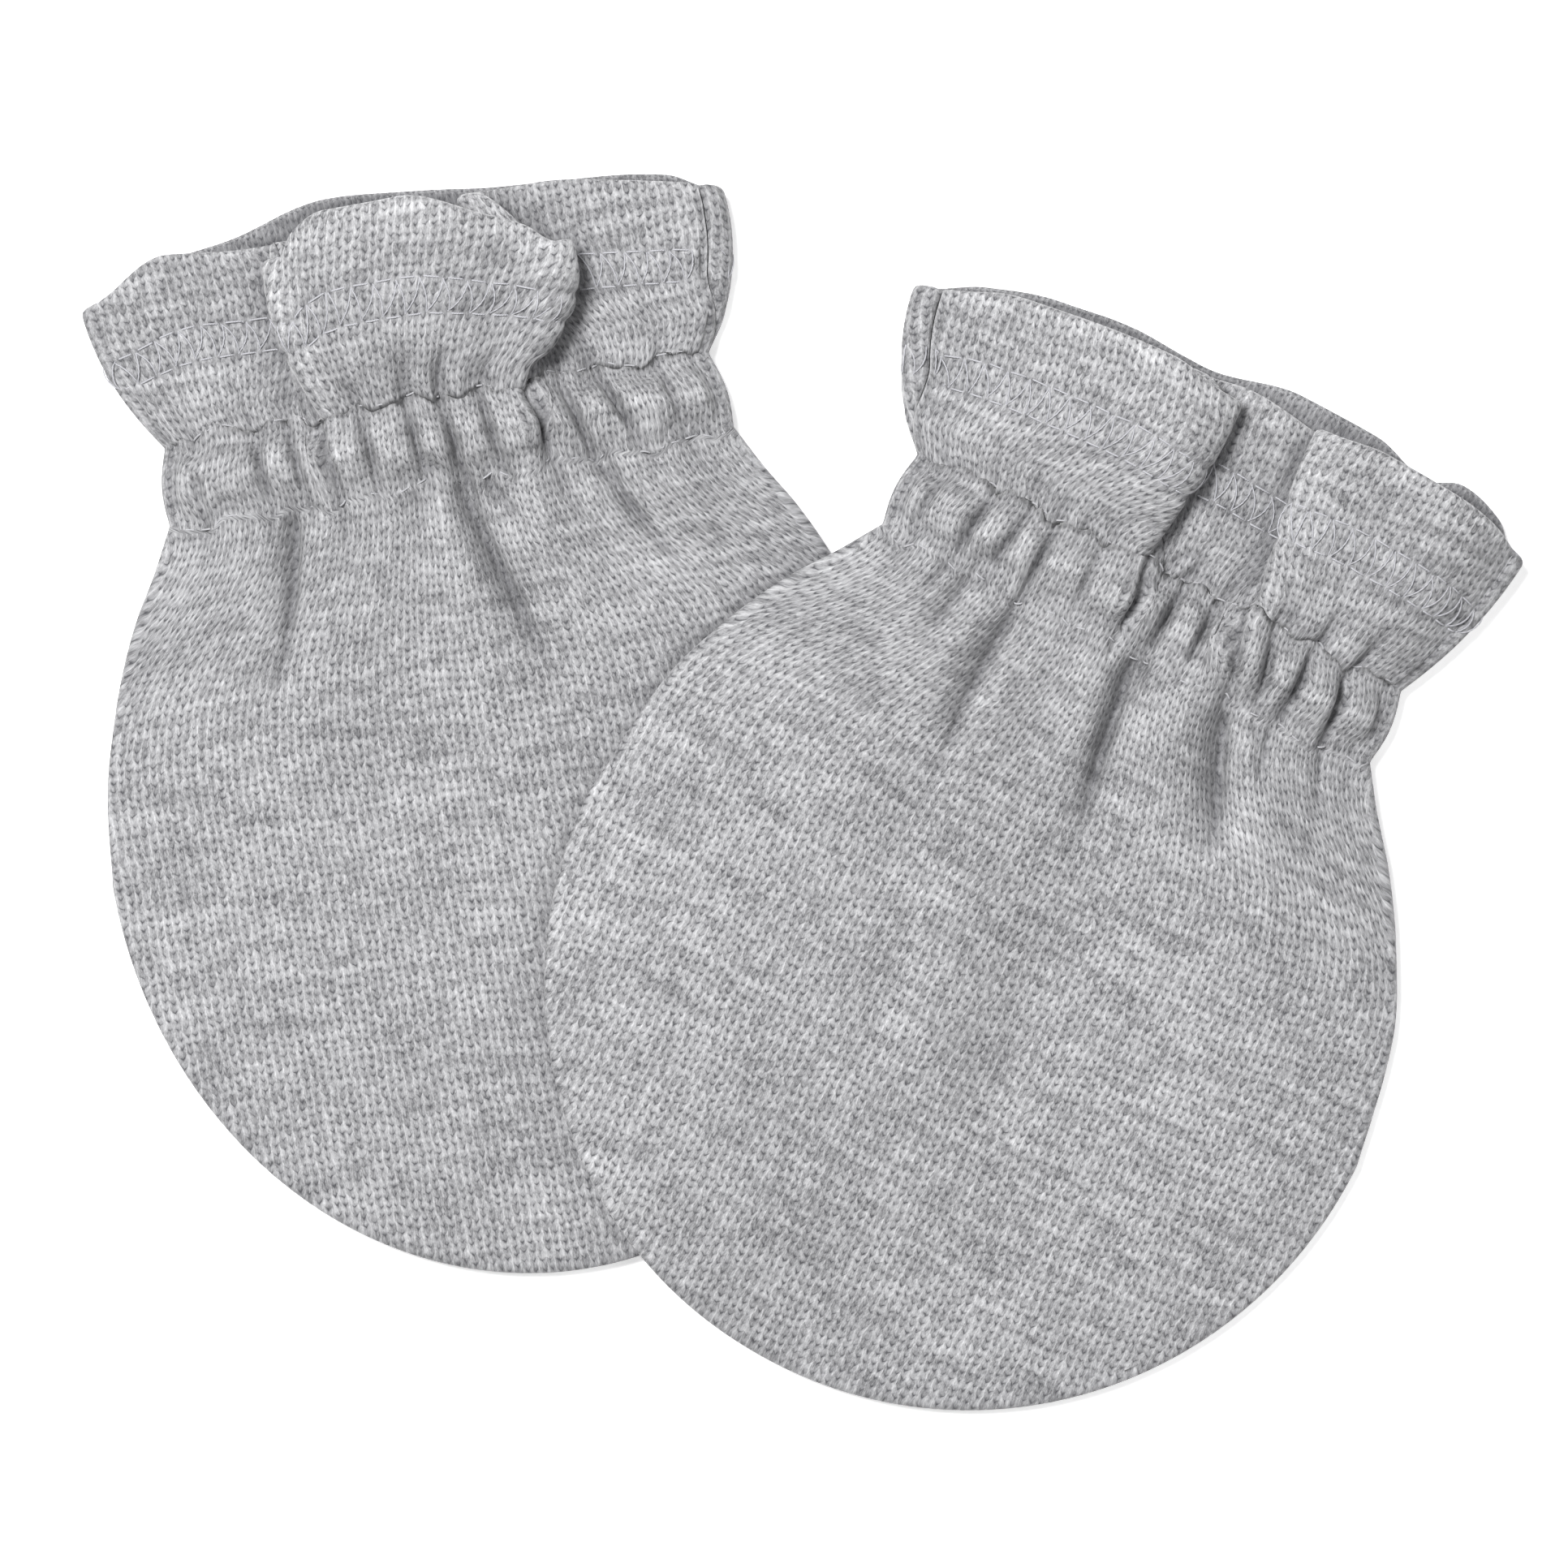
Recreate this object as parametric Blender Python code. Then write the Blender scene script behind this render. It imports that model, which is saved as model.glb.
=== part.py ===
"""Pair of baby mittens in knitted cotton, laid flat, the right one lapping over the left.

Each mitten is a pouch of two panels, front and back, cut alike and seamed round the
fingers and sides. From the tip it has a round body, a gathered wrist channel between two
rows of stitching, and a flared ruffle with a turned hem that falls in folds.

A panel is laid out on two numbers: u runs 0 to 1 across the cloth from the left seam to
the right one, and r runs down it, 0 at the hem, 1 and 2 at the two edges of the channel
and 3 at the tip. A mitten's own frame has "across" to its right, "along" from the lower
row of channel stitches towards the tip, and height above the table. Sizes are millimetres
until the mesh is made.
"""
import math

import bmesh
import bpy
import numpy as np
from mathutils import Vector

MM = 0.001

# Cloth
WALL = 1.1                   # one layer of knit with its loft
HEM_WALL = 1.4               # the turned hem
HEM_DEPTH, HEM_FADE = 0.62, 0.2  # in rows: where the hem ends, and how soon it thins
HEM_ROUND = 0.35             # how far its edge bulges, as a share of its wall
CHANNEL_RIDGE = 1.0          # how far the gathers stand out over the channel's wall
RIDGE_SHAPE = 0.6            # under 1 the ridges rise steeply at the stitches
GROOVE_FLOOR = -0.15         # the deepest a groove cuts into the wall
CHANNEL_INSIDE = 0.5         # the channel's second layer, inside the back panel
BACK_GROOVE = 0.5            # the deepest groove between the back's gathers
SEAM_GAP = 0.3
SEAM_ROOM = 0.9              # from the end of the front's grid to the seam
LAP_GAP = 0.4                # between the left mitten and the right one on top of it
LAP_ROOM = 0.1               # more at the left mitten's edge, which is only roughly round

# Lengths along a mitten
CHANNEL_TOP = -7.0           # the ruffle starts here
MID_RUFFLE = 0.45            # share of the ruffle at its middle section

# Heights
RIM_BODY = 2.7                                    # both layers together at the edge
RIM_ROWS, RIM_HEIGHTS = (0, 1, 2, 2.4), (4.3, 3.4, 3.2, RIM_BODY)
CROWN_CHANNEL, CROWN_BODY = 3.4, 1.5              # how far the front puffs up inside it
CROWN_FADE = 16.0            # along the body, from one to the other
CROWN_RISE = 14.0            # in from the edge
LAP_FALL = 9.0               # the upper mitten comes down to the table over this width
LAP_SLACK = 0.5              # the upper mitten starts to rise this much before the crown

# Placement of each mitten's frame on the table, and the middle of the pair
PAIR_CENTRE = (1.65, -0.9)

# Mesh
COLUMNS_CUFF, COLUMNS_BODY, COLUMNS_TIP = 56, 28, 14
COLUMNS_BACK = 16
RINGS_FRONT, RINGS_BACK = 2, 3

HEATHER = (0.45, 0.45, 0.47, 1.0)
HEATHER_BACK = (0.40, 0.40, 0.42, 1.0)

# Half widths of the body down to where the round tip starts: along, half width
BODY_WIDTH = {
    "left": [(0, 26.7), (4, 28.8), (8, 31.2), (12, 33.1), (16, 34.6), (24, 36.8), (32, 37.7)],
    "right": [(0, 25.3), (4, 28.0), (8, 31.0), (14, 34.5), (22, 37.8), (34, 39.7)],
}

# Round tip: half an ellipse. start along, half width, length, shift of its middle
TIP = {
    "left": dict(start=32.0, half=37.7, length=42.5, shift=0.0),
    "right": dict(start=34.0, half=39.7, length=40.3, shift=0.9),
}
TIP_CORNER = math.radians(48)    # where the sides' rows end and the tip's columns start

# Side edges of the ruffle: across at the channel, middle and hem, and along at the hem.
# strip is how far in from that edge the side seam shows, 0 where it stays at the edge.
RUFFLE_SIDE = {
    "left": dict(
        left=dict(channel=-25.9, middle=-29.3, hem=-31.2, along=-20.2, strip=0.0),
        right=dict(channel=25.6, middle=28.6, hem=29.3, along=-21.4, strip=2.3),
    ),
    "right": dict(
        left=dict(channel=-25.2, middle=-29.6, hem=-32.0, along=-20.6, strip=2.7),
        right=dict(channel=25.0, middle=28.0, hem=29.9, along=-22.2, strip=0.0),
    ),
}
CHANNEL_BULGE = 0.5              # the channel's edge swells between its stitches

# Folds of the front ruffle, from the left seam to the right one. turn is 1 where the cloth
# doubles back at a right-hand edge and -1 at a left-hand one, and rise says whether it
# goes up or down there. Then come across at the channel, across and height half way, and
# across, along and height at the hem.
#    turn rise channel middle height hem along height
FRONT_FOLDS = {
    "left": [
        (0, 0, -18.6, -20.8, 3.9, -22.4, -23.9, 3.8),
        (1, 1, -12.2, -11.4, 5.0, -11.2, -23.2, 4.9),
        (-1, 1, -9.8, -13.8, 7.1, -14.0, -22.3, 7.0),
        (0, 0, -6.2, -7.6, 8.9, -7.6, -25.4, 9.3),
        (0, 0, -1.6, -0.8, 9.1, -0.4, -25.2, 9.8),
        (0, 0, 3.2, 5.8, 8.9, 7.2, -22.9, 9.4),
        (1, -1, 7.0, 12.9, 7.3, 14.7, -18.4, 7.5),
        (-1, -1, 9.9, 7.6, 4.8, 5.6, -24.6, 4.8),
        (0, 0, 13.8, 13.4, 3.6, 12.6, -24.7, 3.6),
        (0, 0, 19.4, 20.2, 3.6, 20.4, -23.8, 3.6),
    ],
    "right": [
        (0, 0, -20.5, -22.6, 4.8, -22.8, -23.5, 4.7),
        (0, 0, -14.0, -14.8, 6.9, -15.0, -24.5, 7.2),
        (0, 0, -8.6, -7.8, 8.4, -7.8, -24.8, 8.9),
        (1, -1, -2.8, -0.8, 7.5, 0.7, -22.5, 7.9),
        (-1, -1, 0.2, -5.4, 4.7, -6.4, -24.7, 4.7),
        (0, 0, 3.6, 1.0, 3.5, 0.2, -25.2, 3.5),
        (1, 1, 7.4, 9.9, 4.8, 10.1, -24.3, 4.7),
        (-1, 1, 9.4, 7.3, 6.9, 7.0, -24.8, 6.9),
        (0, 0, 13.4, 13.2, 8.3, 13.6, -25.2, 8.8),
        (0, 0, 17.8, 19.2, 7.4, 20.2, -24.8, 8.5),
        (0, 0, 21.8, 24.2, 5.4, 25.8, -23.8, 5.9),
    ],
}
TURN_RADIUS = 1.05
TURN_ROOT = 0.7                  # half of what a turn takes up at the channel
LEAST_RUN = 0.05

# Waves of the back ruffle's hem: across at the channel, across and along at the hem, lift
BACK_FOLDS = {
    "left": [
        (-19.6, -24.0, -23.2, 0.0),
        (-12.8, -15.5, -24.7, 0.3),
        (-6.0, -7.2, -26.7, 0.5),
        (0.8, 1.0, -26.0, 0.4),
        (7.8, 9.5, -25.0, 0.0),
        (14.8, 18.0, -24.4, 0.0),
        (20.4, 24.5, -23.4, 0.1),
    ],
    "right": [
        (-20.4, -26.0, -23.3, 0.1),
        (-15.4, -19.0, -25.2, 0.1),
        (-9.0, -11.0, -25.9, 0.1),
        (-3.6, -4.5, -25.5, 0.2),
        (3.6, 4.5, -26.6, 0.1),
        (10.0, 12.5, -26.3, 0.3),
        (14.8, 18.3, -25.1, 0.1),
        (17.4, 21.4, -26.1, 0.9),
        (21.2, 26.0, -24.7, 0.4),
    ],
}

# Grooves between the channel's gathers: across and along at the top and at the bottom,
# and depth
GROOVES = {
    "left": [
        (-22.6, -3.4, -22.9, 0.6, 0.5), (-16.9, -5.8, -16.6, -0.2, 0.7),
        (-14.0, -7.0, -13.3, 0.2, 0.8), (-10.8, -8.0, -10.2, 0.8, 1.0),
        (-7.0, -6.0, -6.6, 0.8, 0.8), (-2.9, -7.0, -2.2, 0.2, 0.9),
        (0.3, -7.4, 1.4, 0.5, 1.0), (3.9, -6.4, 5.4, 2.0, 0.9),
        (8.0, -6.4, 9.4, 0.6, 1.1), (11.4, -6.0, 13.8, 1.8, 0.9),
        (14.4, -7.2, 17.8, 0.4, 0.9), (20.4, -6.5, 22.0, -0.4, 0.5),
    ],
    "right": [
        (-21.4, -6.4, -22.0, -0.4, 0.5), (-16.6, -7.2, -17.6, -0.5, 0.9),
        (-13.2, -6.6, -14.2, -1.0, 0.8), (-10.5, -7.0, -10.6, 1.4, 0.9),
        (-5.8, -6.4, -5.8, -0.6, 0.5), (-1.8, -7.6, -1.2, -0.8, 0.9),
        (2.5, -7.4, 2.2, -0.8, 1.0), (5.9, -7.3, 5.9, -1.6, 0.9),
        (8.6, -7.2, 10.2, -0.6, 1.0), (11.6, -7.0, 13.4, 0.8, 0.9),
        (15.6, -6.0, 15.7, 0.8, 1.0), (19.3, -6.0, 20.2, 0.2, 1.0),
        (23.2, -5.6, 23.8, -1.0, 0.6),
    ],
}
GROOVE_WIDTH = 0.85

# Creases that run from the channel into the front's body: three points, across and
# along, and depth
CREASES = {
    "left": [
        ((-14.7, 1.4), (-16.2, 8.8), (-20.2, 21.0), 1.3),
        ((0.4, 0.0), (4.1, 12.4), (7.4, 23.0), 1.3),
        ((12.6, -1.0), (17.1, 7.8), (21.8, 16.0), 0.9),
        ((3.1, 0.8), (4.9, 3.8), (7.0, 7.4), 0.6),
        ((-3.2, 1.0), (-3.3, 4.5), (-3.6, 8.2), 0.5),
    ],
    "right": [
        ((-10.6, 1.6), (-11.0, 11.1), (-10.0, 23.0), 1.0),
        ((1.2, 0.6), (2.7, 11.9), (4.6, 21.4), 1.4),
        ((10.8, 1.6), (14.3, 10.3), (16.2, 15.8), 1.3),
        ((15.2, 1.0), (16.0, 4.5), (17.0, 8.2), 0.6),
        ((-15.6, 1.0), (-16.4, 5.5), (-17.6, 10.4), 0.6),
    ],
}
CREASE_WIDTH = 1.9

# Where the front sinks into the valleys beside the ruffle's folds, at the channel's top:
# across and width of its left edge and of its right edge, and depth
VALLEYS = {
    "left": [(-20.0, 6.0, -11.0, 2.8, 1.6), (8.6, 2.8, 20.0, 11.0, 2.4)],
    "right": [(-1.2, 2.8, 8.4, 2.8, 2.4)],
}
VALLEY_REACH = 5.5

# Each mitten's frame on the table: lower channel stitches' middle, and its turn
PLACES = {
    "left": dict(x=-30.65, y=28.43, turn=math.radians(10)),
    "right": dict(x=31.58, y=13.05, turn=math.radians(-26)),
}


# ---- curves ----------------------------------------------------------------------

def smooth(x):
    """Rise from 0 to 1 with level ends."""
    x = np.clip(x, 0.0, 1.0)
    return x * x * (3 - 2 * x)


def fair(x, knots, values):
    """Smooth curve through the values that doesn't swing past them."""
    knots, values = np.asarray(knots, float), np.asarray(values, float)
    step = np.diff(knots)
    slope = np.diff(values) / step
    tangent = np.zeros(len(knots))
    tangent[0], tangent[-1] = slope[0], slope[-1]
    for k in range(1, len(knots) - 1):
        before, after = slope[k - 1], slope[k]
        if before * after > 0:
            heavy, light = 2 * step[k] + step[k - 1], step[k] + 2 * step[k - 1]
            tangent[k] = (heavy + light) / (heavy / before + light / after)
    x = np.clip(np.asarray(x, float), knots[0], knots[-1])
    k = np.clip(np.searchsorted(knots, x, side="right") - 1, 0, len(knots) - 2)
    t = (x - knots[k]) / step[k]
    return ((1 + 2 * t) * (1 - t) ** 2 * values[k] + t * (1 - t) ** 2 * step[k] * tangent[k]
            + t * t * (3 - 2 * t) * values[k + 1] + t * t * (t - 1) * step[k] * tangent[k + 1])


def spline(x, knots, values):
    """Evenly curving line through the values, straight at its ends."""
    count = len(knots)
    step = np.diff(knots)
    slope = np.diff(values) / step
    matrix, right = np.eye(count), np.zeros(count)
    for k in range(1, count - 1):
        matrix[k, k - 1:k + 2] = step[k - 1], 2 * (step[k - 1] + step[k]), step[k]
        right[k] = 6 * (slope[k] - slope[k - 1])
    bend = np.linalg.solve(matrix, right)
    k = np.clip(np.searchsorted(knots, x, side="right") - 1, 0, count - 2)
    before, after = x - knots[k], knots[k + 1] - x
    return ((bend[k] * after ** 3 + bend[k + 1] * before ** 3) / (6 * step[k])
            + (values[k] / step[k] - bend[k] * step[k] / 6) * after
            + (values[k + 1] / step[k] - bend[k + 1] * step[k] / 6) * before)


def through_middle(share, start, middle, end):
    """Parabola through the values at 0, MID_RUFFLE and 1."""
    m = MID_RUFFLE
    return (start * (share - m) * (share - 1) / m
            + middle * share * (share - 1) / (m * (m - 1))
            + end * share * (share - m) / (1 - m))


def along_polyline(points, lengths, at):
    return np.stack([np.interp(at, lengths, points[:, k]) for k in range(2)], axis=-1)


# ---- outline ---------------------------------------------------------------------

def half_outline(hand, side):
    """Dense outline of one side of the body, from the channel to the tip."""
    tip = TIP[hand]
    table = np.array(BODY_WIDTH[hand])
    along = np.linspace(0, tip["start"], 60)
    straight = np.stack([fair(along, table[:, 0], table[:, 1]), along], axis=-1)
    turn = np.linspace(0, math.pi / 2, 120)[1:]
    round_end = np.stack([tip["half"] * np.cos(turn), tip["start"] + tip["length"] * np.sin(turn)],
                         axis=-1)
    points = np.concatenate([straight, round_end])
    points[:, 0] *= side
    points[:, 0] += tip["shift"] * smooth(points[:, 1] / tip["start"])
    lengths = np.concatenate([[0], np.cumsum(np.linalg.norm(np.diff(points, axis=0), axis=1))])
    corner = np.interp(tip["start"] + tip["length"] * math.cos(TIP_CORNER), points[:, 1], lengths)
    return points, lengths, corner


OUTLINE = {(hand, side): half_outline(hand, side)
           for hand in ("left", "right") for side in (-1, 1)}


def side_point(hand, side, r):
    """Point of the side outline in row r."""
    edge = RUFFLE_SIDE[hand]["left" if side < 0 else "right"]
    if r <= 1:
        share = 1 - r
        across = through_middle(share, edge["channel"], edge["middle"], edge["hem"])
        return np.array([across, CHANNEL_TOP + share * (edge["along"] - CHANNEL_TOP)])
    points, lengths, corner = OUTLINE[hand, side]
    if r <= 2:
        share = r - 1
        across = edge["channel"] + share * (points[0, 0] - edge["channel"])
        across += side * CHANNEL_BULGE * math.sin(math.pi * share)
        return np.array([across, CHANNEL_TOP * (1 - share)])
    return along_polyline(points, lengths, (r - 2) * corner)


def tip_point(hand, u):
    """Point of the tip's outline below column u."""
    side = -1 if u < 0.5 else 1
    points, lengths, corner = OUTLINE[hand, side]
    share = abs(u - 0.5) * 2
    return along_polyline(points, lengths, lengths[-1] + share * (corner - lengths[-1]))


def outline_frame(hand, place, is_tip):
    """Point on the outline and the direction into the cloth there."""
    if is_tip:
        here = tip_point(hand, place)
        run = tip_point(hand, min(place + 0.02, 1)) - tip_point(hand, max(place - 0.02, 0))
    else:
        side, r = place
        here = side_point(hand, side, r)
        run = side_point(hand, side, min(r + 0.04, 3)) - side_point(hand, side, max(r - 0.04, 0))
        run *= -side
    inward = np.array([run[1], -run[0]]) / np.linalg.norm(run)
    return here, inward


# ---- the rim, where the cloth bends round from back to front ----------------------

def rim_height(r):
    return float(np.interp(r, RIM_ROWS, RIM_HEIGHTS))


def wall_at(r):
    return float(WALL + (HEM_WALL - WALL) * smooth((HEM_DEPTH - r) / HEM_FADE))


def seam_length(hand, side, r):
    """How far round the bend the seam lies, from the table up."""
    rim, wall = rim_height(r), wall_at(r)
    bend = (rim - wall) / 2
    strip = RUFFLE_SIDE[hand]["left" if side < 0 else "right"]["strip"] if side else 0
    half_way = math.pi * bend / 2
    if not strip:
        return half_way
    wrapped = math.pi * bend + strip - rim / 2
    return half_way + (wrapped - half_way) * float(smooth((1.0 - r) / 0.5))


def round_the_rim(s, rim, wall):
    """Inset and height at the length s round the bend, and the way out and onward."""
    bend = (rim - wall) / 2
    if s <= 0:
        return np.array([rim / 2 - s, wall / 2]), np.array([0, -1.0]), np.array([-1.0, 0])
    if s >= math.pi * bend:
        top = np.array([rim / 2 + s - math.pi * bend, rim - wall / 2])
        return top, np.array([0, 1.0]), np.array([1.0, 0])
    turn = s / bend
    place = np.array([rim / 2 - bend * math.sin(turn), rim / 2 - bend * math.cos(turn)])
    return (place, np.array([-math.sin(turn), -math.cos(turn)]),
            np.array([-math.cos(turn), math.sin(turn)]))


def inner_inset(hand, side, r, is_front):
    """How far in from the outline the panel's grid starts."""
    rim = rim_height(r)
    if not is_front:
        return rim / 2
    bend = (rim - wall_at(r)) / 2
    return rim / 2 + max(0.0, seam_length(hand, side, r) + SEAM_ROOM - math.pi * bend)


# ---- heights ---------------------------------------------------------------------

def puff(inset):
    """Share of the crown at a distance in from the edge."""
    return 1 - (1 - np.clip(inset / CROWN_RISE, 0, 1)) ** 2


def crown(along):
    fade = np.exp(-(np.clip(along, 0, None) / CROWN_FADE) ** 2)
    return CROWN_BODY + (CROWN_CHANNEL - CROWN_BODY) * fade


def line_share(across, along, start, end):
    """Distance from a straight line and the share of its length reached."""
    run = np.array(end) - np.array(start)
    length = np.linalg.norm(run)
    share = ((across - start[0]) * run[0] + (along - start[1]) * run[1]) / length ** 2
    held = np.clip(share, 0, 1)
    away = np.hypot(across - start[0] - held * run[0], along - start[1] - held * run[1])
    return away, held


def crease_depth(hand, across, along):
    """Soft troughs, deepest near the channel and dying out towards the tip."""
    total = np.zeros(np.shape(across))
    for start, middle, end, depth in CREASES[hand]:
        upper, share_up = line_share(across, along, start, middle)
        lower, share_low = line_share(across, along, middle, end)
        away = np.minimum(upper, lower)
        share = np.where(upper < lower, share_up / 2, (1 + share_low) / 2)
        fade = smooth((1 - share) / 0.7) * smooth((share + 0.12) / 0.2)
        total = np.maximum(total, depth * fade * np.exp(-(away / CREASE_WIDTH) ** 2))
    return total


def valley_depth(hand, across, along):
    total = np.zeros(np.shape(across))
    reach = np.exp(-((along - CHANNEL_TOP) / VALLEY_REACH) ** 2)
    for start, start_edge, end, end_edge, depth in VALLEYS[hand]:
        rise = smooth((across - start) / start_edge + 0.5)
        fall = smooth((across - end) / end_edge + 0.5)
        total = total + depth * (rise - fall) * reach
    return total


def groove_relief(hand, across, along):
    """What the gathers add to the channel's wall: ridges with grooves between them."""
    share = np.clip((along - CHANNEL_TOP) / -CHANNEL_TOP, 0, 1)
    relief = CHANNEL_RIDGE * np.sin(math.pi * share) ** RIDGE_SHAPE
    for top_across, top, bottom_across, bottom, depth in GROOVES[hand]:
        away, held = line_share(across, along, (top_across, top), (bottom_across, bottom))
        relief = relief - depth * np.exp(-(away / GROOVE_WIDTH) ** 2) * (along < 3) * (share > 0)
    return np.maximum(relief, GROOVE_FLOOR)


# ---- panels ----------------------------------------------------------------------

def fold_table(hand):
    """The front's folds with each turn as its two shoulders and its edge."""
    rows = []
    for turn, rise, channel, middle, middle_height, hem, along, hem_height in FRONT_FOLDS[hand]:
        for part in ((-1, 0, 1) if turn else (0,)):
            back, up = -turn * abs(part) * TURN_RADIUS, rise * part * TURN_RADIUS
            rows.append((channel + part * TURN_ROOT, middle + back, middle_height + up,
                         hem + back, along, hem_height + up))
    return np.array(rows)


def grid_edge(hand, side, r, is_front):
    here, inward = outline_frame(hand, (side, r), False)
    return here + inward * inner_inset(hand, side, r, is_front)


def front_height(hand, across, along, inset, r):
    rise = crown(along) * puff(inset)
    sunk = valley_depth(hand, across, along) + crease_depth(hand, across, along)
    return rim_height(r) - wall_at(r) / 2 + rise - np.minimum(sunk, rise)


def ruffle_row(hand, u, r, is_front):
    """Middle of the wall across the ruffle in row r."""
    share = 1 - r
    left, right = grid_edge(hand, -1, r, is_front), grid_edge(hand, 1, r, is_front)
    hem_left, hem_right = grid_edge(hand, -1, 0.0, is_front), grid_edge(hand, 1, 0.0, is_front)
    wall = wall_at(r)
    if is_front:
        rows = fold_table(hand)
        start, end = grid_edge(hand, -1, 1.0, True)[0], grid_edge(hand, 1, 1.0, True)[0]
        inset = np.minimum(rows[:, 0] - start, end - rows[:, 0])
        root = front_height(hand, rows[:, 0], CHANNEL_TOP, inset, 1.0)
        across = through_middle(share, rows[:, 0], rows[:, 1], rows[:, 3])
        height = through_middle(share, root, rows[:, 2], rows[:, 5])
        hem_along = rows[:, 4]
        ends = rim_height(r) - wall / 2
    else:
        rows = np.array(BACK_FOLDS[hand])
        across = rows[:, 0] + (rows[:, 1] - rows[:, 0]) * (1 - (1 - share) ** 1.5)
        height = wall / 2 + rows[:, 3] * share ** 2
        hem_along = rows[:, 2]
        ends = wall / 2
    across = np.concatenate([[left[0]], across, [right[0]]])
    height = np.concatenate([[ends], height, [ends]])
    along = np.concatenate([[hem_left[1]], hem_along, [hem_right[1]]])
    run = np.cumsum(np.maximum(np.hypot(np.diff(across), np.diff(height)), LEAST_RUN))
    knots = np.concatenate([[0], run / run[-1]])
    lie = spline if is_front else fair
    return np.stack([spline(u, knots, across),
                     CHANNEL_TOP + share * (fair(u, knots, along) - CHANNEL_TOP),
                     lie(u, knots, height)], axis=-1)


def body_plan(hand, u, r, is_front):
    """Plan position in the body: the rows bend from the channel's line to the tip's."""
    v = r - 2
    top_left, top_right = grid_edge(hand, -1, 2.0, is_front), grid_edge(hand, 1, 2.0, is_front)
    left, right = grid_edge(hand, -1, r, is_front), grid_edge(hand, 1, r, is_front)
    low_left, low_right = grid_edge(hand, -1, 3.0, is_front), grid_edge(hand, 1, 3.0, is_front)
    inset = inner_inset(hand, 0, 3.0, is_front)
    tips = [outline_frame(hand, place, True) for place in u]
    tip = np.array([here + inward * inset for here, inward in tips])
    u = u[:, None]
    top = top_left + u * (top_right - top_left)
    ends = (1 - v) * (top_left + u * (top_right - top_left)) + v * (
        low_left + u * (low_right - low_left))
    return (1 - v) * top + v * tip + (1 - u) * left + u * right - ends


def outline_inset(hand, across, along):
    """Distance in from the body's outline, negative outside it."""
    left, right = OUTLINE[hand, -1][0], OUTLINE[hand, 1][0]
    loop = np.concatenate([left, right[::-1][1:]])
    start, run = loop[:-1], np.diff(loop, axis=0)
    at = np.stack([across, along], axis=-1)[:, None, :] - start[None]
    share = np.clip((at * run[None]).sum(-1) / (run ** 2).sum(-1)[None], 0, 1)
    away = at - share[..., None] * run[None]
    distance = np.sqrt((away ** 2).sum(-1))
    nearest = distance.argmin(axis=1)
    pick = np.arange(len(across))
    cross = run[nearest, 0] * at[pick, nearest, 1] - run[nearest, 1] * at[pick, nearest, 0]
    return np.where(cross < 0, 1, -1) * distance[pick, nearest]


def panel_point(hand, u, r, is_front):
    """Middle of the wall at columns u of row r, in the mitten's frame."""
    u = np.atleast_1d(np.asarray(u, float))
    if r < 1:
        return ruffle_row(hand, u, r, is_front)
    if r <= 2:
        left, right = grid_edge(hand, -1, r, is_front), grid_edge(hand, 1, r, is_front)
        across = left[0] + u * (right[0] - left[0])
        along = left[1] + u * (right[1] - left[1])
        inset = np.minimum(across - left[0], right[0] - across)
    else:
        plan = body_plan(hand, u, r, is_front)
        across, along = plan[:, 0], plan[:, 1]
        inset = outline_inset(hand, across, along) - rim_height(r) / 2
    if is_front:
        height = front_height(hand, across, along, inset, r)
    else:
        height = np.full(across.shape, wall_at(r) / 2)
    return np.stack([across, along, height], axis=-1)


def panel_normal(hand, u, r, is_front):
    """Way out of the pouch at the same points."""
    if not is_front:
        return np.tile([0.0, 0.0, -1.0], (len(u), 1))
    step_u, step_r = 0.004, 0.02
    before = panel_point(hand, np.clip(u - step_u, 0, 1), r, is_front)
    after = panel_point(hand, np.clip(u + step_u, 0, 1), r, is_front)
    above = panel_point(hand, u, max(r - step_r, 0), is_front)
    below = panel_point(hand, u, min(r + step_r, 3), is_front)
    normal = np.cross(after - before, below - above)
    normal /= np.linalg.norm(normal, axis=1)[:, None]
    return normal


def wall_sides(hand, u, r, is_front):
    """Outer and inner points of the wall along row r."""
    u = np.atleast_1d(np.asarray(u, float))
    middle = panel_point(hand, u, r, is_front)
    normal = panel_normal(hand, u, r, is_front)
    half = wall_at(r) / 2
    outside = np.full(len(u), half)
    inside = np.full(len(u), half)
    edge = smooth(np.minimum(u, 1 - u) / 0.03)
    if 1 <= r <= 2.3:
        relief = groove_relief(hand, middle[:, 0], middle[:, 1]) * edge
        if is_front:
            outside += relief
        else:
            swell = np.sin(math.pi * min(max(r - 1, 0), 1)) ** RIDGE_SHAPE
            outside -= np.clip(CHANNEL_RIDGE * swell - relief, 0, BACK_GROOVE) * edge
            inside += CHANNEL_INSIDE * swell * edge
    return middle + normal * outside[:, None], middle - normal * inside[:, None]


# ---- placing ---------------------------------------------------------------------

def to_table(hand, points):
    """From the mitten's frame to the table's."""
    place = PLACES[hand]
    turn = place["turn"]
    x = place["x"] + points[:, 0] * math.cos(turn) + points[:, 1] * math.sin(turn)
    y = place["y"] + points[:, 0] * math.sin(turn) - points[:, 1] * math.cos(turn)
    return np.stack([x - PAIR_CENTRE[0], y - PAIR_CENTRE[1], points[:, 2]], axis=-1)


def from_table(hand, points):
    """Across and along in the mitten's frame of points on the table."""
    place = PLACES[hand]
    turn = place["turn"]
    x = points[:, 0] + PAIR_CENTRE[0] - place["x"]
    y = points[:, 1] + PAIR_CENTRE[1] - place["y"]
    return x * math.cos(turn) + y * math.sin(turn), x * math.sin(turn) - y * math.cos(turn)


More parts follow.
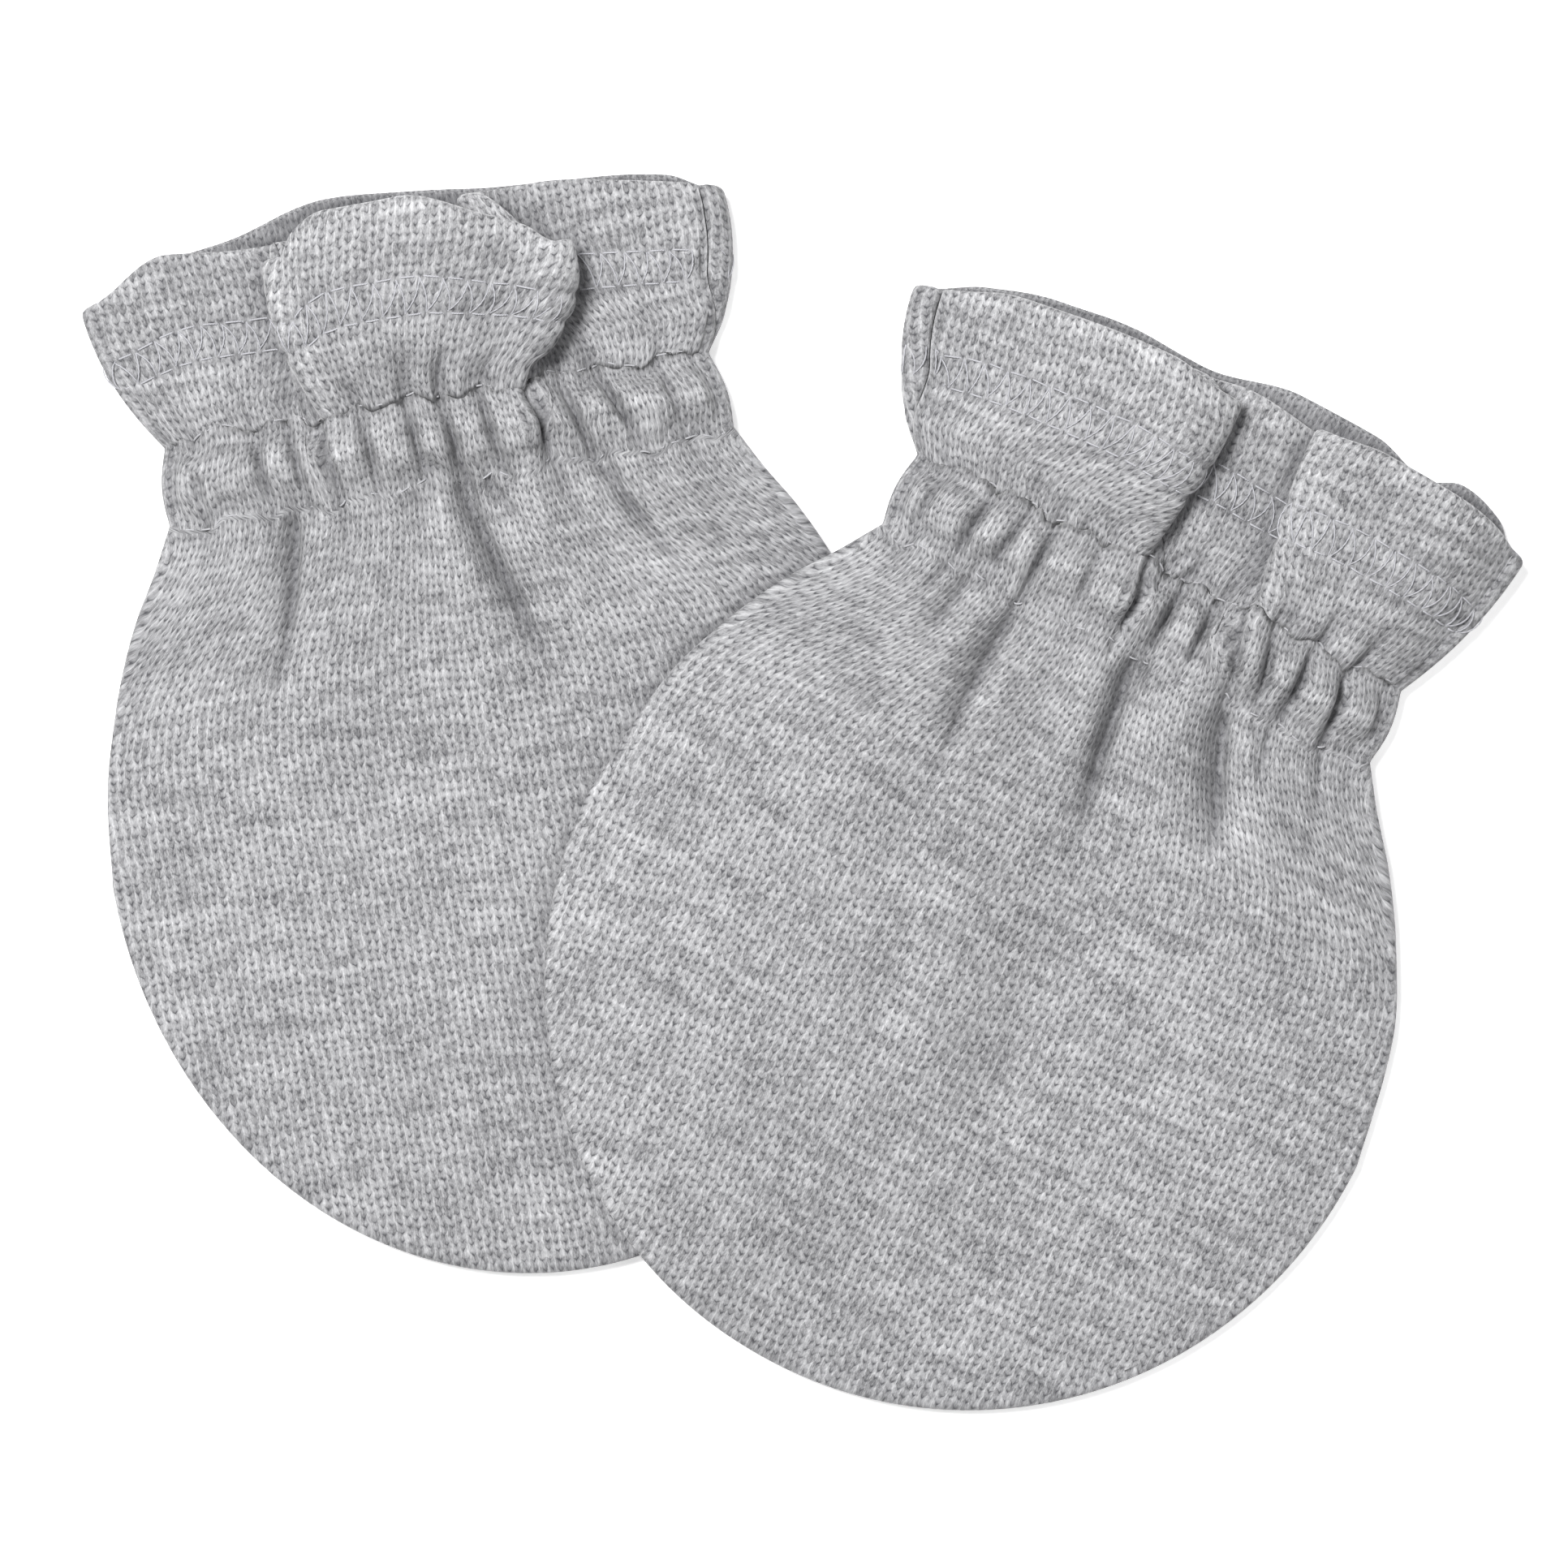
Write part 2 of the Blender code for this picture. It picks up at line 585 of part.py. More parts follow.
def lap_lift(points):
    """How far the right mitten is lifted by the left one beneath it."""
    across, along = from_table("left", points)
    inset = outline_inset("left", across, along)
    edge = LAP_GAP + RIM_BODY + LAP_ROOM
    over = edge + crown(along) * puff(inset - RIM_BODY / 2 + LAP_SLACK)
    return np.where(inset > 0, over, edge * smooth((inset + LAP_FALL) / (LAP_FALL - 0.8)))


def settle(hand, points):
    points = to_table(hand, points)
    if hand == "right":
        points[:, 2] += lap_lift(points)
    return points


# ---- meshes ----------------------------------------------------------------------

def row_plan(is_front):
    """Rows down the panel, each with its number of columns."""
    ruffle, channel, body = (5, 4, 18) if is_front else (4, 2, 12)
    rows = [(k / ruffle, COLUMNS_CUFF) for k in range(ruffle)]
    rows += [(1 + k / channel, COLUMNS_CUFF) for k in range(channel)]
    for k in range(body + 1):
        v = (k / body) ** 1.25
        rows.append((2 + v, COLUMNS_BODY if v < 0.42 else COLUMNS_TIP))
    if not is_front:
        rows = [(r, COLUMNS_BACK) for r, _ in rows]
    return rows


class Panel:
    """Mesh of one panel: an outer and an inner grid, closed at the hem and the seam."""

    def __init__(self, hand, is_front):
        self.hand, self.is_front = hand, is_front
        self.bm = bmesh.new()
        self.rows = row_plan(is_front)
        self.rings = RINGS_FRONT if is_front else RINGS_BACK
        self.grids = [[], []]
        for r, columns in self.rows:
            sides = wall_sides(hand, np.linspace(0, 1, columns + 1), r, is_front)
            for grid, points in zip(self.grids, sides):
                grid.append(self.add(points))
        self.loops = self.seam_loops()
        self.faces()

    def add(self, points):
        settled = settle(self.hand, np.atleast_2d(points)) * MM
        return [self.bm.verts.new(point) for point in settled]

    def rim_points(self, here, inward, side, r):
        """Outer and inner points of the wall on its way to the seam."""
        rim, wall = rim_height(r), wall_at(r)
        seam = seam_length(self.hand, side, r)
        bend = (rim - wall) / 2
        if self.is_front:
            start = math.pi * bend + inner_inset(self.hand, side, r, True) - rim / 2
            end = seam + SEAM_GAP / 2
        else:
            start, end = 0.0, seam - SEAM_GAP / 2
        outer, inner = [], []
        for ring in range(1, self.rings + 1):
            s = start + (end - start) * ring / self.rings
            shift = 0.0
            if ring == self.rings:
                shift, s = end - seam, seam
            place, out, onward = round_the_rim(s, rim, wall)
            for points, half in ((outer, wall / 2), (inner, -wall / 2)):
                inset, height = place + out * half + onward * shift
                points.append([*(here + inward * inset), height])
        return np.array(outer), np.array(inner)

    def seam_loops(self):
        """For each point round the seam: the grid's vertex, then the rings' vertices."""
        last = len(self.rows) - 1
        columns = self.rows[-1][1]
        stations = [(j, 0, -1) for j in range(last + 1)]
        stations += [(last, i, 0) for i in range(1, columns)]
        stations += [(j, -1, 1) for j in range(last, -1, -1)]
        loops = [[], []]
        for j, i, side in stations:
            r = self.rows[j][0]
            place = i / columns if side == 0 else (side, r)
            here, inward = outline_frame(self.hand, place, side == 0)
            for grid, loop, points in zip(self.grids, loops,
                                          self.rim_points(here, inward, side, r)):
                loop.append([grid[j][i], *self.add(points)])
        return loops

    def face(self, *verts):
        self.bm.faces.new(verts)

    def faces(self):
        for grid, loop in zip(self.grids, self.loops):
            for above, below in zip(grid, grid[1:]):
                step = (len(above) - 1) // (len(below) - 1)
                for i in range(len(below) - 1):
                    top = above[i * step:(i + 1) * step + 1]
                    self.fan(top, below[i:i + 2])
            for one, two in zip(loop, loop[1:]):
                for k in range(self.rings):
                    self.face(one[k], two[k], two[k + 1], one[k + 1])
        outer, inner = self.loops
        for k in range(len(outer) - 1):
            self.face(outer[k][-1], outer[k + 1][-1], inner[k + 1][-1], inner[k][-1])
        self.close_hem()
        bmesh.ops.triangulate(self.bm, faces=self.bm.faces)
        bmesh.ops.recalc_face_normals(self.bm, faces=self.bm.faces)

    def fan(self, top, bottom):
        if len(top) == 2:
            self.face(top[0], top[1], bottom[1], bottom[0])
        else:
            self.face(top[0], top[1], bottom[0])
            self.face(top[1], bottom[1], bottom[0])
            self.face(top[1], top[2], bottom[1])

    def close_hem(self):
        """Round off the hem between the outer and the inner edge."""
        edges = []
        for grid, loop in zip(self.grids, self.loops):
            edges.append(loop[0][:0:-1] + grid[0] + loop[-1][1:])
        turn = PLACES[self.hand]["turn"]
        bulge = Vector((-math.sin(turn), math.cos(turn), 0)) * HEM_ROUND * HEM_WALL * MM
        middle = []
        for k, (out, inn) in enumerate(zip(*edges)):
            centre = (out.co + inn.co) / 2
            inner_one = 0 < k < len(edges[0]) - 1
            middle.append(self.bm.verts.new(centre + bulge) if inner_one else None)
        for k in range(len(middle) - 1):
            out, inn, mid = edges[0][k:k + 2], edges[1][k:k + 2], middle[k:k + 2]
            if mid[0] is None:
                self.face(out[0], out[1], mid[1])
                self.face(out[0], mid[1], inn[0])
                self.face(inn[0], mid[1], inn[1])
            elif mid[1] is None:
                self.face(out[0], out[1], mid[0])
                self.face(out[1], inn[1], mid[0])
                self.face(inn[1], inn[0], mid[0])
            else:
                self.face(out[0], out[1], mid[1], mid[0])
                self.face(mid[0], mid[1], inn[1], inn[0])


def make_material(name, colour):
    material = bpy.data.materials.new(name)
    material.use_nodes = True
    shader = material.node_tree.nodes["Principled BSDF"]
    shader.inputs["Base Color"].default_value = colour
    shader.inputs["Roughness"].default_value = 0.9
    shader.inputs["Metallic"].default_value = 0.0
    return material


def make_panel(hand, is_front):
    name = f"mitten_{hand}_{'front' if is_front else 'back'}"
    panel = Panel(hand, is_front)
    mesh = bpy.data.meshes.new(name)
    panel.bm.to_mesh(mesh)
    panel.bm.free()
    mesh.shade_smooth()
    mesh.materials.append(make_material(name + "_cloth", HEATHER if is_front else HEATHER_BACK))
    bpy.context.scene.collection.objects.link(bpy.data.objects.new(name, mesh))


for old in list(bpy.data.objects):
    bpy.data.objects.remove(old, do_unlink=True)

for mitten in ("left", "right"):
    for front in (True, False):
        make_panel(mitten, front)
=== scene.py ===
# A pair of knitted baby mittens, laid flat, the right one lapping over the left.
# Each panel of cloth is a thin shell over its own solid. Lengths are in millimetres until
# the meshes are made.
import math

import bmesh
import bpy
import numpy as np
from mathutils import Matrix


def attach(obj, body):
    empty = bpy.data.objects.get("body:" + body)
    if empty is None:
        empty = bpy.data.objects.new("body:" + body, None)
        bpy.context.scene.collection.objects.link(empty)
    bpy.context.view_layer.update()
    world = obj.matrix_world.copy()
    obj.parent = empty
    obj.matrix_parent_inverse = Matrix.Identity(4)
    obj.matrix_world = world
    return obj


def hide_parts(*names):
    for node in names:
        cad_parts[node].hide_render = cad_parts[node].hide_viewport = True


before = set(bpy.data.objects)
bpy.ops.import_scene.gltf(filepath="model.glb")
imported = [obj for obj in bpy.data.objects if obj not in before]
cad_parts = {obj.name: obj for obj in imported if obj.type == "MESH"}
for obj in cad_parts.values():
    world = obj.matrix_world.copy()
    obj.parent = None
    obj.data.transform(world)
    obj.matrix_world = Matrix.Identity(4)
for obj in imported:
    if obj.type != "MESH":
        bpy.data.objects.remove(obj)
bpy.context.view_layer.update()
mm = 0.001

# ---- the two mittens ----

# Places in a mitten are across and along: along runs from the lower row of wrist stitches
# to the finger end. u goes 0 to 1 from the left seam to the right one, and r is 0 at the
# hem, 1 and 2 at the wrist's rows of stitches and 3 at the finger end.
mittens = {
    "left": {
        "place": (-30.65, 28.43), "turn": math.radians(10),
        # along, half width
        "body": [(0, 26.7), (4, 28.8), (8, 31.2), (12, 33.1), (16, 34.6), (24, 36.8), (32, 37.7)],
        "tip": {"start": 32.0, "half": 37.7, "length": 42.5, "shift": 0.0},
        # across at wrist, middle and hem, along at the hem, how far in the seam shows
        "ruffleLeft": (-25.9, -29.3, -31.2, -20.2, 0.0),
        "ruffleRight": (25.6, 28.6, 29.3, -21.4, 2.3),
        # turn, rise, wrist, middle, its height, hem, its along, its height
        "folds": [
            (0, 0, -18.6, -20.8, 3.9, -22.4, -23.9, 3.8),
            (1, 1, -12.2, -11.4, 5.0, -11.2, -23.2, 4.9),
            (-1, 1, -9.8, -12.4, 7.1, -12.9, -21.7, 7.0),
            (0, 0, -7.6, -9.9, 8.2, -10.3, -23.8, 8.5),
            (0, 0, -5.6, -7.0, 8.9, -7.2, -25.2, 9.3),
            (0, 0, -1.6, -0.8, 9.1, -0.4, -25.2, 9.8),
            (0, 0, 3.2, 5.6, 8.9, 6.6, -22.5, 9.4),
            (0, 0, 5.2, 9.2, 8.3, 10.7, -20.7, 8.6),
            (1, -1, 7.0, 12.7, 7.3, 14.2, -18.8, 7.5),
            (-1, -1, 9.9, 7.6, 4.8, 5.6, -24.6, 4.8),
            (0, 0, 13.8, 13.4, 3.6, 12.6, -24.7, 3.6),
            (0, 0, 19.0, 19.8, 3.6, 20.2, -23.5, 3.6),
            (0, 0, 22.4, 23.6, 3.6, 24.2, -22.7, 3.6),
        ],
        # wrist, hem, its along, its lift
        "backWaves": [
            (-19.6, -24.0, -23.2, 0.0), (-12.8, -15.5, -24.7, 0.3), (-6.0, -7.2, -26.7, 0.5),
            (0.8, 1.0, -26.0, 0.4), (7.8, 9.5, -25.0, 0.0), (14.8, 18.0, -24.4, 0.0),
            (20.4, 24.5, -23.4, 0.1),
        ],
        # across and along at the top and at the bottom, depth
        "grooves": [
            (-22.6, -3.4, -22.9, 0.6, 0.5), (-16.9, -5.8, -16.6, -0.2, 0.7),
            (-14.0, -7.0, -13.3, 0.2, 0.8), (-10.8, -8.0, -10.2, 0.8, 1.0),
            (-7.0, -6.0, -6.6, 0.8, 0.8), (-2.9, -7.0, -2.2, 0.2, 0.9),
            (0.3, -7.4, 1.4, 0.5, 1.0), (3.9, -6.4, 5.4, 2.0, 0.9),
            (8.0, -6.4, 9.4, 0.6, 1.1), (11.4, -6.0, 13.8, 1.8, 0.9),
            (14.4, -7.2, 17.8, 0.4, 0.9), (20.4, -6.5, 22.0, -0.4, 0.5),
        ],
        # three points, depth
        "creases": [
            ((-14.7, 1.4), (-16.2, 8.8), (-20.2, 21.0), 1.3),
            ((0.4, 0.0), (4.1, 12.4), (7.4, 23.0), 1.3),
            ((12.6, -1.0), (17.1, 7.8), (21.8, 16.0), 0.9),
            ((3.1, 0.8), (4.9, 3.8), (7.0, 7.4), 0.6),
            ((-3.2, 1.0), (-3.3, 4.5), (-3.6, 8.2), 0.5),
        ],
        # start, its edge, end, its edge, depth
        "valleys": [(-20.0, 6.0, -11.0, 2.8, 1.6), (8.6, 2.8, 20.0, 11.0, 2.4)],
        # small creases of the ruffle: u and r at each end, depth, width
        "pleats": [
            (0.455, 1.0, 0.44, 0.62, 0.55, 1.0), (0.505, 1.0, 0.50, 0.70, 0.7, 0.8),
            (0.56, 1.0, 0.565, 0.80, 0.35, 0.9), (0.40, 1.0, 0.385, 0.78, 0.3, 1.0),
            (0.20, 1.0, 0.19, 0.75, 0.3, 1.1), (0.79, 1.0, 0.80, 0.72, 0.3, 1.2),
            (0.87, 1.0, 0.875, 0.8, 0.25, 1.0), (0.12, 1.0, 0.10, 0.8, 0.2, 1.2),
        ],
    },
    "right": {
        "place": (31.58, 13.05), "turn": math.radians(-26),
        "body": [(0, 25.3), (4, 28.0), (8, 31.0), (14, 34.5), (22, 37.8), (34, 39.7)],
        "tip": {"start": 34.0, "half": 39.7, "length": 40.3, "shift": 0.9},
        "ruffleLeft": (-25.2, -29.6, -32.0, -20.6, 2.7),
        "ruffleRight": (25.0, 28.0, 29.9, -22.2, 0.0),
        "folds": [
            (0, 0, -20.5, -22.6, 4.8, -22.8, -23.5, 4.7),
            (0, 0, -14.0, -14.8, 6.9, -15.0, -24.5, 7.2),
            (0, 0, -8.6, -7.8, 8.4, -7.8, -24.8, 8.9),
            (1, -1, -2.8, -1.2, 7.2, -0.6, -23.8, 7.5),
            (-1, -1, 0.2, -4.4, 5.3, -5.4, -24.7, 5.2),
            (0, 0, 3.6, 1.0, 4.8, 0.2, -25.2, 4.6),
            (1, 1, 7.4, 9.9, 4.8, 10.1, -24.3, 4.7),
            (-1, 1, 10.2, 8.3, 6.9, 7.6, -24.7, 6.9),
            (0, 0, 13.4, 13.2, 8.3, 13.6, -25.2, 8.8),
            (0, 0, 17.8, 19.2, 7.4, 20.2, -24.8, 8.5),
            (0, 0, 21.8, 24.2, 5.4, 25.8, -23.8, 5.9),
        ],
        "backWaves": [
            (-20.4, -26.0, -23.3, 0.1), (-15.4, -19.0, -25.2, 0.1), (-9.0, -11.0, -25.9, 0.1),
            (-3.6, -4.5, -25.5, 0.2), (3.6, 4.5, -27.1, 0.1), (10.0, 12.5, -26.7, 0.3),
            (14.8, 18.3, -25.1, 0.1), (17.4, 21.4, -26.1, 0.9), (21.2, 26.0, -24.7, 0.4),
        ],
        "grooves": [
            (-21.4, -6.4, -22.0, -0.4, 0.5), (-16.6, -7.2, -17.6, -0.5, 0.9),
            (-13.2, -6.6, -14.2, -1.0, 0.8), (-10.5, -7.0, -10.6, 1.4, 0.9),
            (-5.8, -6.4, -5.8, -0.6, 0.5), (-1.8, -7.6, -1.2, -0.8, 0.9),
            (2.5, -7.4, 2.2, -0.8, 1.0), (5.9, -7.3, 5.9, -1.6, 0.9),
            (8.6, -7.2, 10.2, -0.6, 1.0), (11.6, -7.0, 13.4, 0.8, 0.9),
            (15.6, -6.0, 15.7, 0.8, 1.0), (19.3, -6.0, 20.2, 0.2, 1.0),
            (23.2, -5.6, 23.8, -1.0, 0.6),
        ],
        "creases": [
            ((-10.6, 1.6), (-11.0, 11.1), (-10.0, 23.0), 1.0),
            ((1.2, 0.6), (2.7, 11.9), (4.6, 21.4), 1.4),
            ((10.8, 1.6), (14.3, 10.3), (16.2, 15.8), 1.3),
            ((15.2, 1.0), (16.0, 4.5), (17.0, 8.2), 0.6),
            ((-15.6, 1.0), (-16.4, 5.5), (-17.6, 10.4), 0.6),
        ],
        "valleys": [(-1.2, 2.8, 8.4, 2.8, 2.4)],
        "pleats": [
            (0.18, 1.0, 0.16, 0.62, 0.5, 1.0), (0.25, 1.0, 0.24, 0.70, 0.5, 0.9),
            (0.33, 1.0, 0.33, 0.75, 0.4, 1.0), (0.77, 1.0, 0.78, 0.66, 0.6, 0.9),
            (0.84, 1.0, 0.86, 0.70, 0.5, 1.0), (0.10, 1.0, 0.08, 0.8, 0.25, 1.2),
            (0.92, 1.0, 0.94, 0.8, 0.3, 1.2), (0.50, 0.97, 0.57, 0.74, 0.8, 0.55),
            (0.53, 1.0, 0.595, 0.80, 0.8, 0.5), (0.56, 1.0, 0.615, 0.87, 0.6, 0.5),
        ],
    },
}

cloth = {
    "wall": 1.1, "hemWall": 1.4, "hemDepth": 0.62, "hemFade": 0.2,
    "hemWrap": (0.4, 0.8, 1.2, 0.6),    # the knit runs on round the hem's edge, step by step
    "hemRise": 0.3, "hemLevel": 0.9, "hemReach": 0.4,    # of the hem inward from its corner
    "seamGap": 0.08, "seamRoom": 0.9,
    "seamSink": 0.34, "sinkReach": 0.45,    # the edges sink in at the seam
    "wristTop": -7.0, "midRuffle": 0.45, "wristBulge": 0.5, "tipCorner": math.radians(48),
    "rimRows": (0, 1, 2, 2.4), "rimHeights": (4.3, 3.4, 3.2, 2.7), "rimBody": 2.7,
    "crownWrist": 3.4, "crownBody": 1.5, "crownFade": 16.0, "crownRise": 14.0,
    "lapGap": 0.4, "lapRoom": 0.1, "lapFall": 14.0, "lapFlat": 0.8, "lapSlack": 0.5,
    "turnRadius": 1.05, "turnRoot": 0.7, "leastRun": 0.05,
    "creaseWidth": 1.9, "valleyReach": 5.5,
    "cutWidth": 80.0,              # of a panel before its wrist is gathered
    "needleRows": (0.375, 0.56),   # the two rows of the hem's cover stitch
    "pairCentre": (1.65, -0.9),
}


def smooth(x):
    x = np.clip(x, 0.0, 1.0)
    return x * x * (3 - 2 * x)


def fair(x, knots, values):    # smooth, and never swings past its values
    knots, values = np.asarray(knots, float), np.asarray(values, float)
    step = np.diff(knots)
    slope = np.diff(values) / step
    tangent = np.zeros(len(knots))
    tangent[0], tangent[-1] = slope[0], slope[-1]
    for k in range(1, len(knots) - 1):
        before, after = slope[k - 1], slope[k]
        if before * after > 0:
            heavy, light = 2 * step[k] + step[k - 1], step[k] + 2 * step[k - 1]
            tangent[k] = (heavy + light) / (heavy / before + light / after)
    x = np.clip(np.asarray(x, float), knots[0], knots[-1])
    k = np.clip(np.searchsorted(knots, x, side="right") - 1, 0, len(knots) - 2)
    t = (x - knots[k]) / step[k]
    return ((1 + 2 * t) * (1 - t) ** 2 * values[k] + t * (1 - t) ** 2 * step[k] * tangent[k]
            + t * t * (3 - 2 * t) * values[k + 1] + t * t * (t - 1) * step[k] * tangent[k + 1])


def spline(x, knots, values):    # natural cubic
    count = len(knots)
    step = np.diff(knots)
    slope = np.diff(values) / step
    matrix, right = np.eye(count), np.zeros(count)
    for k in range(1, count - 1):
        matrix[k, k - 1:k + 2] = step[k - 1], 2 * (step[k - 1] + step[k]), step[k]
        right[k] = 6 * (slope[k] - slope[k - 1])
    bend = np.linalg.solve(matrix, right)
    k = np.clip(np.searchsorted(knots, x, side="right") - 1, 0, count - 2)
    before, after = x - knots[k], knots[k + 1] - x
    return ((bend[k] * after ** 3 + bend[k + 1] * before ** 3) / (6 * step[k])
            + (values[k] / step[k] - bend[k] * step[k] / 6) * after
            + (values[k + 1] / step[k] - bend[k + 1] * step[k] / 6) * before)


def throughMiddle(share, start, middle, end):
    m = cloth["midRuffle"]
    return (start * (share - m) * (share - 1) / m + middle * share * (share - 1) / (m * (m - 1))
            + end * share * (share - m) / (1 - m))


def lineShare(across, along, start, end):    # distance from a line, share of its length
    run = np.array(end) - np.array(start)
    share = ((across - start[0]) * run[0] + (along - start[1]) * run[1]) / (run @ run)
    held = np.clip(share, 0, 1)
    return np.hypot(across - start[0] - held * run[0], along - start[1] - held * run[1]), held


def runLengths(points):    # how far along a line each of its points is
    return np.concatenate([[0], np.cumsum(np.linalg.norm(np.diff(points, axis=0), axis=1))])


# ---- outline and rim ----

def halfOutline(mitten, side):
    tip, table = mitten["tip"], np.array(mitten["body"])
    along = np.linspace(0, tip["start"], 60)
    straight = np.stack([fair(along, table[:, 0], table[:, 1]), along], axis=-1)
    turn = np.linspace(0, math.pi / 2, 120)[1:]
    roundEnd = np.stack([tip["half"] * np.cos(turn),
                         tip["start"] + tip["length"] * np.sin(turn)], axis=-1)
    points = np.concatenate([straight, roundEnd])
    points[:, 0] = side * points[:, 0] + tip["shift"] * smooth(points[:, 1] / tip["start"])
    lengths = runLengths(points)
    corner = np.interp(tip["start"] + tip["length"] * math.cos(cloth["tipCorner"]),
                       points[:, 1], lengths)
    return points, lengths, corner


for mitten in mittens.values():
    mitten["outline"] = {side: halfOutline(mitten, side) for side in (-1, 1)}


def onOutline(points, lengths, at):
    return np.array([np.interp(at, lengths, points[:, 0]), np.interp(at, lengths, points[:, 1])])


def sidePoint(mitten, side, r):
    wrist, middle, hem, hemAlong, _ = mitten["ruffleLeft" if side < 0 else "ruffleRight"]
    top = cloth["wristTop"]
    if r <= 1:
        share = 1 - r
        return np.array([throughMiddle(share, wrist, middle, hem), top + share * (hemAlong - top)])
    points, lengths, corner = mitten["outline"][side]
    if r <= 2:
        share = r - 1
        across = wrist + share * (points[0, 0] - wrist)
        across += side * cloth["wristBulge"] * math.sin(math.pi * share)
        return np.array([across, top * (1 - share)])
    return onOutline(points, lengths, (r - 2) * corner)


def tipPoint(mitten, u):
    points, lengths, corner = mitten["outline"][-1 if u < 0.5 else 1]
    return onOutline(points, lengths, lengths[-1] + abs(u - 0.5) * 2 * (corner - lengths[-1]))


def rimFrame(mitten, place, atTip):    # a point of the outline and the way into the cloth
    if atTip:
        here = tipPoint(mitten, place)
        run = tipPoint(mitten, min(place + 0.02, 1)) - tipPoint(mitten, max(place - 0.02, 0))
    else:
        side, r = place
        here = sidePoint(mitten, side, r)
        run = (sidePoint(mitten, side, min(r + 0.04, 3))
               - sidePoint(mitten, side, max(r - 0.04, 0))) * -side
        level = cloth["hemLevel"] * float(smooth(1 - r / cloth["hemReach"]))
        run[0] += level * (cloth["hemRise"] * abs(run[1]) - run[0])
    return here, np.array([run[1], -run[0]]) / np.linalg.norm(run)


def rimHeight(r):
    return float(np.interp(r, cloth["rimRows"], cloth["rimHeights"]))


def wallAt(r):
    more = smooth((cloth["hemDepth"] - r) / cloth["hemFade"])
    return cloth["wall"] + (cloth["hemWall"] - cloth["wall"]) * more


def seamLength(mitten, side, r):    # how far round the rim the seam is
    rim = rimHeight(r)
    bend = (rim - float(wallAt(r))) / 2
    strip = mitten["ruffleLeft" if side < 0 else "ruffleRight"][4] if side else 0
    halfWay = math.pi * bend / 2
    if not strip:
        return halfWay
    return halfWay + (math.pi * bend + strip - rim / 2 - halfWay) * float(smooth((1 - r) / 0.5))


def roundTheRim(s, rim, wall):    # inset and height, the way out and onward
    bend = (rim - wall) / 2
    if s <= 0:
        return np.array([rim / 2 - s, wall / 2]), np.array([0, -1.0]), np.array([-1.0, 0])
    if s >= math.pi * bend:
        top = np.array([rim / 2 + s - math.pi * bend, rim - wall / 2])
        return top, np.array([0, 1.0]), np.array([1.0, 0])
    turn = s / bend
    sine, cosine = math.sin(turn), math.cos(turn)
    return (np.array([rim / 2 - bend * sine, rim / 2 - bend * cosine]),
            np.array([-sine, -cosine]), np.array([-cosine, sine]))


def innerInset(mitten, side, r, isFront):
    rim = rimHeight(r)
    if not isFront:
        return rim / 2
    bend = (rim - float(wallAt(r))) / 2
    return rim / 2 + max(0.0, seamLength(mitten, side, r) + cloth["seamRoom"] - math.pi * bend)


def gridEdges(mitten, r, isFront):    # left and right, where the rim's strip begins
    edges = []
    for side in (-1, 1):
        here, inward = rimFrame(mitten, (side, r), False)
        edges.append(here + inward * innerInset(mitten, side, r, isFront))
    return edges


# ---- the lie of the cloth ----

def crown(along):
    fade = np.exp(-(np.clip(along, 0, None) / cloth["crownFade"]) ** 2)
    return cloth["crownBody"] + (cloth["crownWrist"] - cloth["crownBody"]) * fade


def puff(inset):
    return 1 - (1 - np.clip(inset / cloth["crownRise"], 0, 1)) ** 2


def alongCreases(mitten, across, along):    # distance, share of its length, on its right, depth
    for start, middle, end, depth in mitten["creases"]:
        upper, shareUp = lineShare(across, along, start, middle)
        lower, shareLow = lineShare(across, along, middle, end)
        line = np.array([start, middle, end])
        yield (np.minimum(upper, lower), np.where(upper < lower, shareUp / 2, (1 + shareLow) / 2),
               across > np.interp(along, line[:, 1], line[:, 0]), depth)


def creaseDepth(mitten, across, along):
    total = np.zeros(np.shape(across))
    for away, share, _, depth in alongCreases(mitten, across, along):
        fade = smooth((1 - share) / 0.7) * smooth((share + 0.12) / 0.2)
        total = np.maximum(total, depth * fade * np.exp(-(away / cloth["creaseWidth"]) ** 2))
    return total


def valleyDepth(mitten, across, along):
    reach = np.exp(-((along - cloth["wristTop"]) / cloth["valleyReach"]) ** 2)
    total = np.zeros(np.shape(across))
    for start, startEdge, end, endEdge, depth in mitten["valleys"]:
        dip = smooth((across - start) / startEdge + 0.5) - smooth((across - end) / endEdge + 0.5)
        total = total + depth * dip * reach
    return total


def frontHeight(mitten, across, along, inset, r):
    rise = crown(along) * puff(inset)
    sunk = valleyDepth(mitten, across, along) + creaseDepth(mitten, across, along)
    return rimHeight(r) - wallAt(r) / 2 + rise - np.minimum(sunk, rise)


def outlineInset(mitten, across, along):
    loop = np.concatenate([mitten["outline"][-1][0], mitten["outline"][1][0][::-1][1:]])
    start, run = loop[:-1], np.diff(loop, axis=0)
    at = np.stack([across, along], axis=-1)[:, None, :] - start[None]
    share = np.clip((at * run[None]).sum(-1) / (run ** 2).sum(-1)[None], 0, 1)
    distance = np.sqrt(((at - share[..., None] * run[None]) ** 2).sum(-1))
    nearest, pick = distance.argmin(axis=1), np.arange(len(across))
    cross = run[nearest, 0] * at[pick, nearest, 1] - run[nearest, 1] * at[pick, nearest, 0]
    return np.where(cross < 0, 1, -1) * distance[pick, nearest]


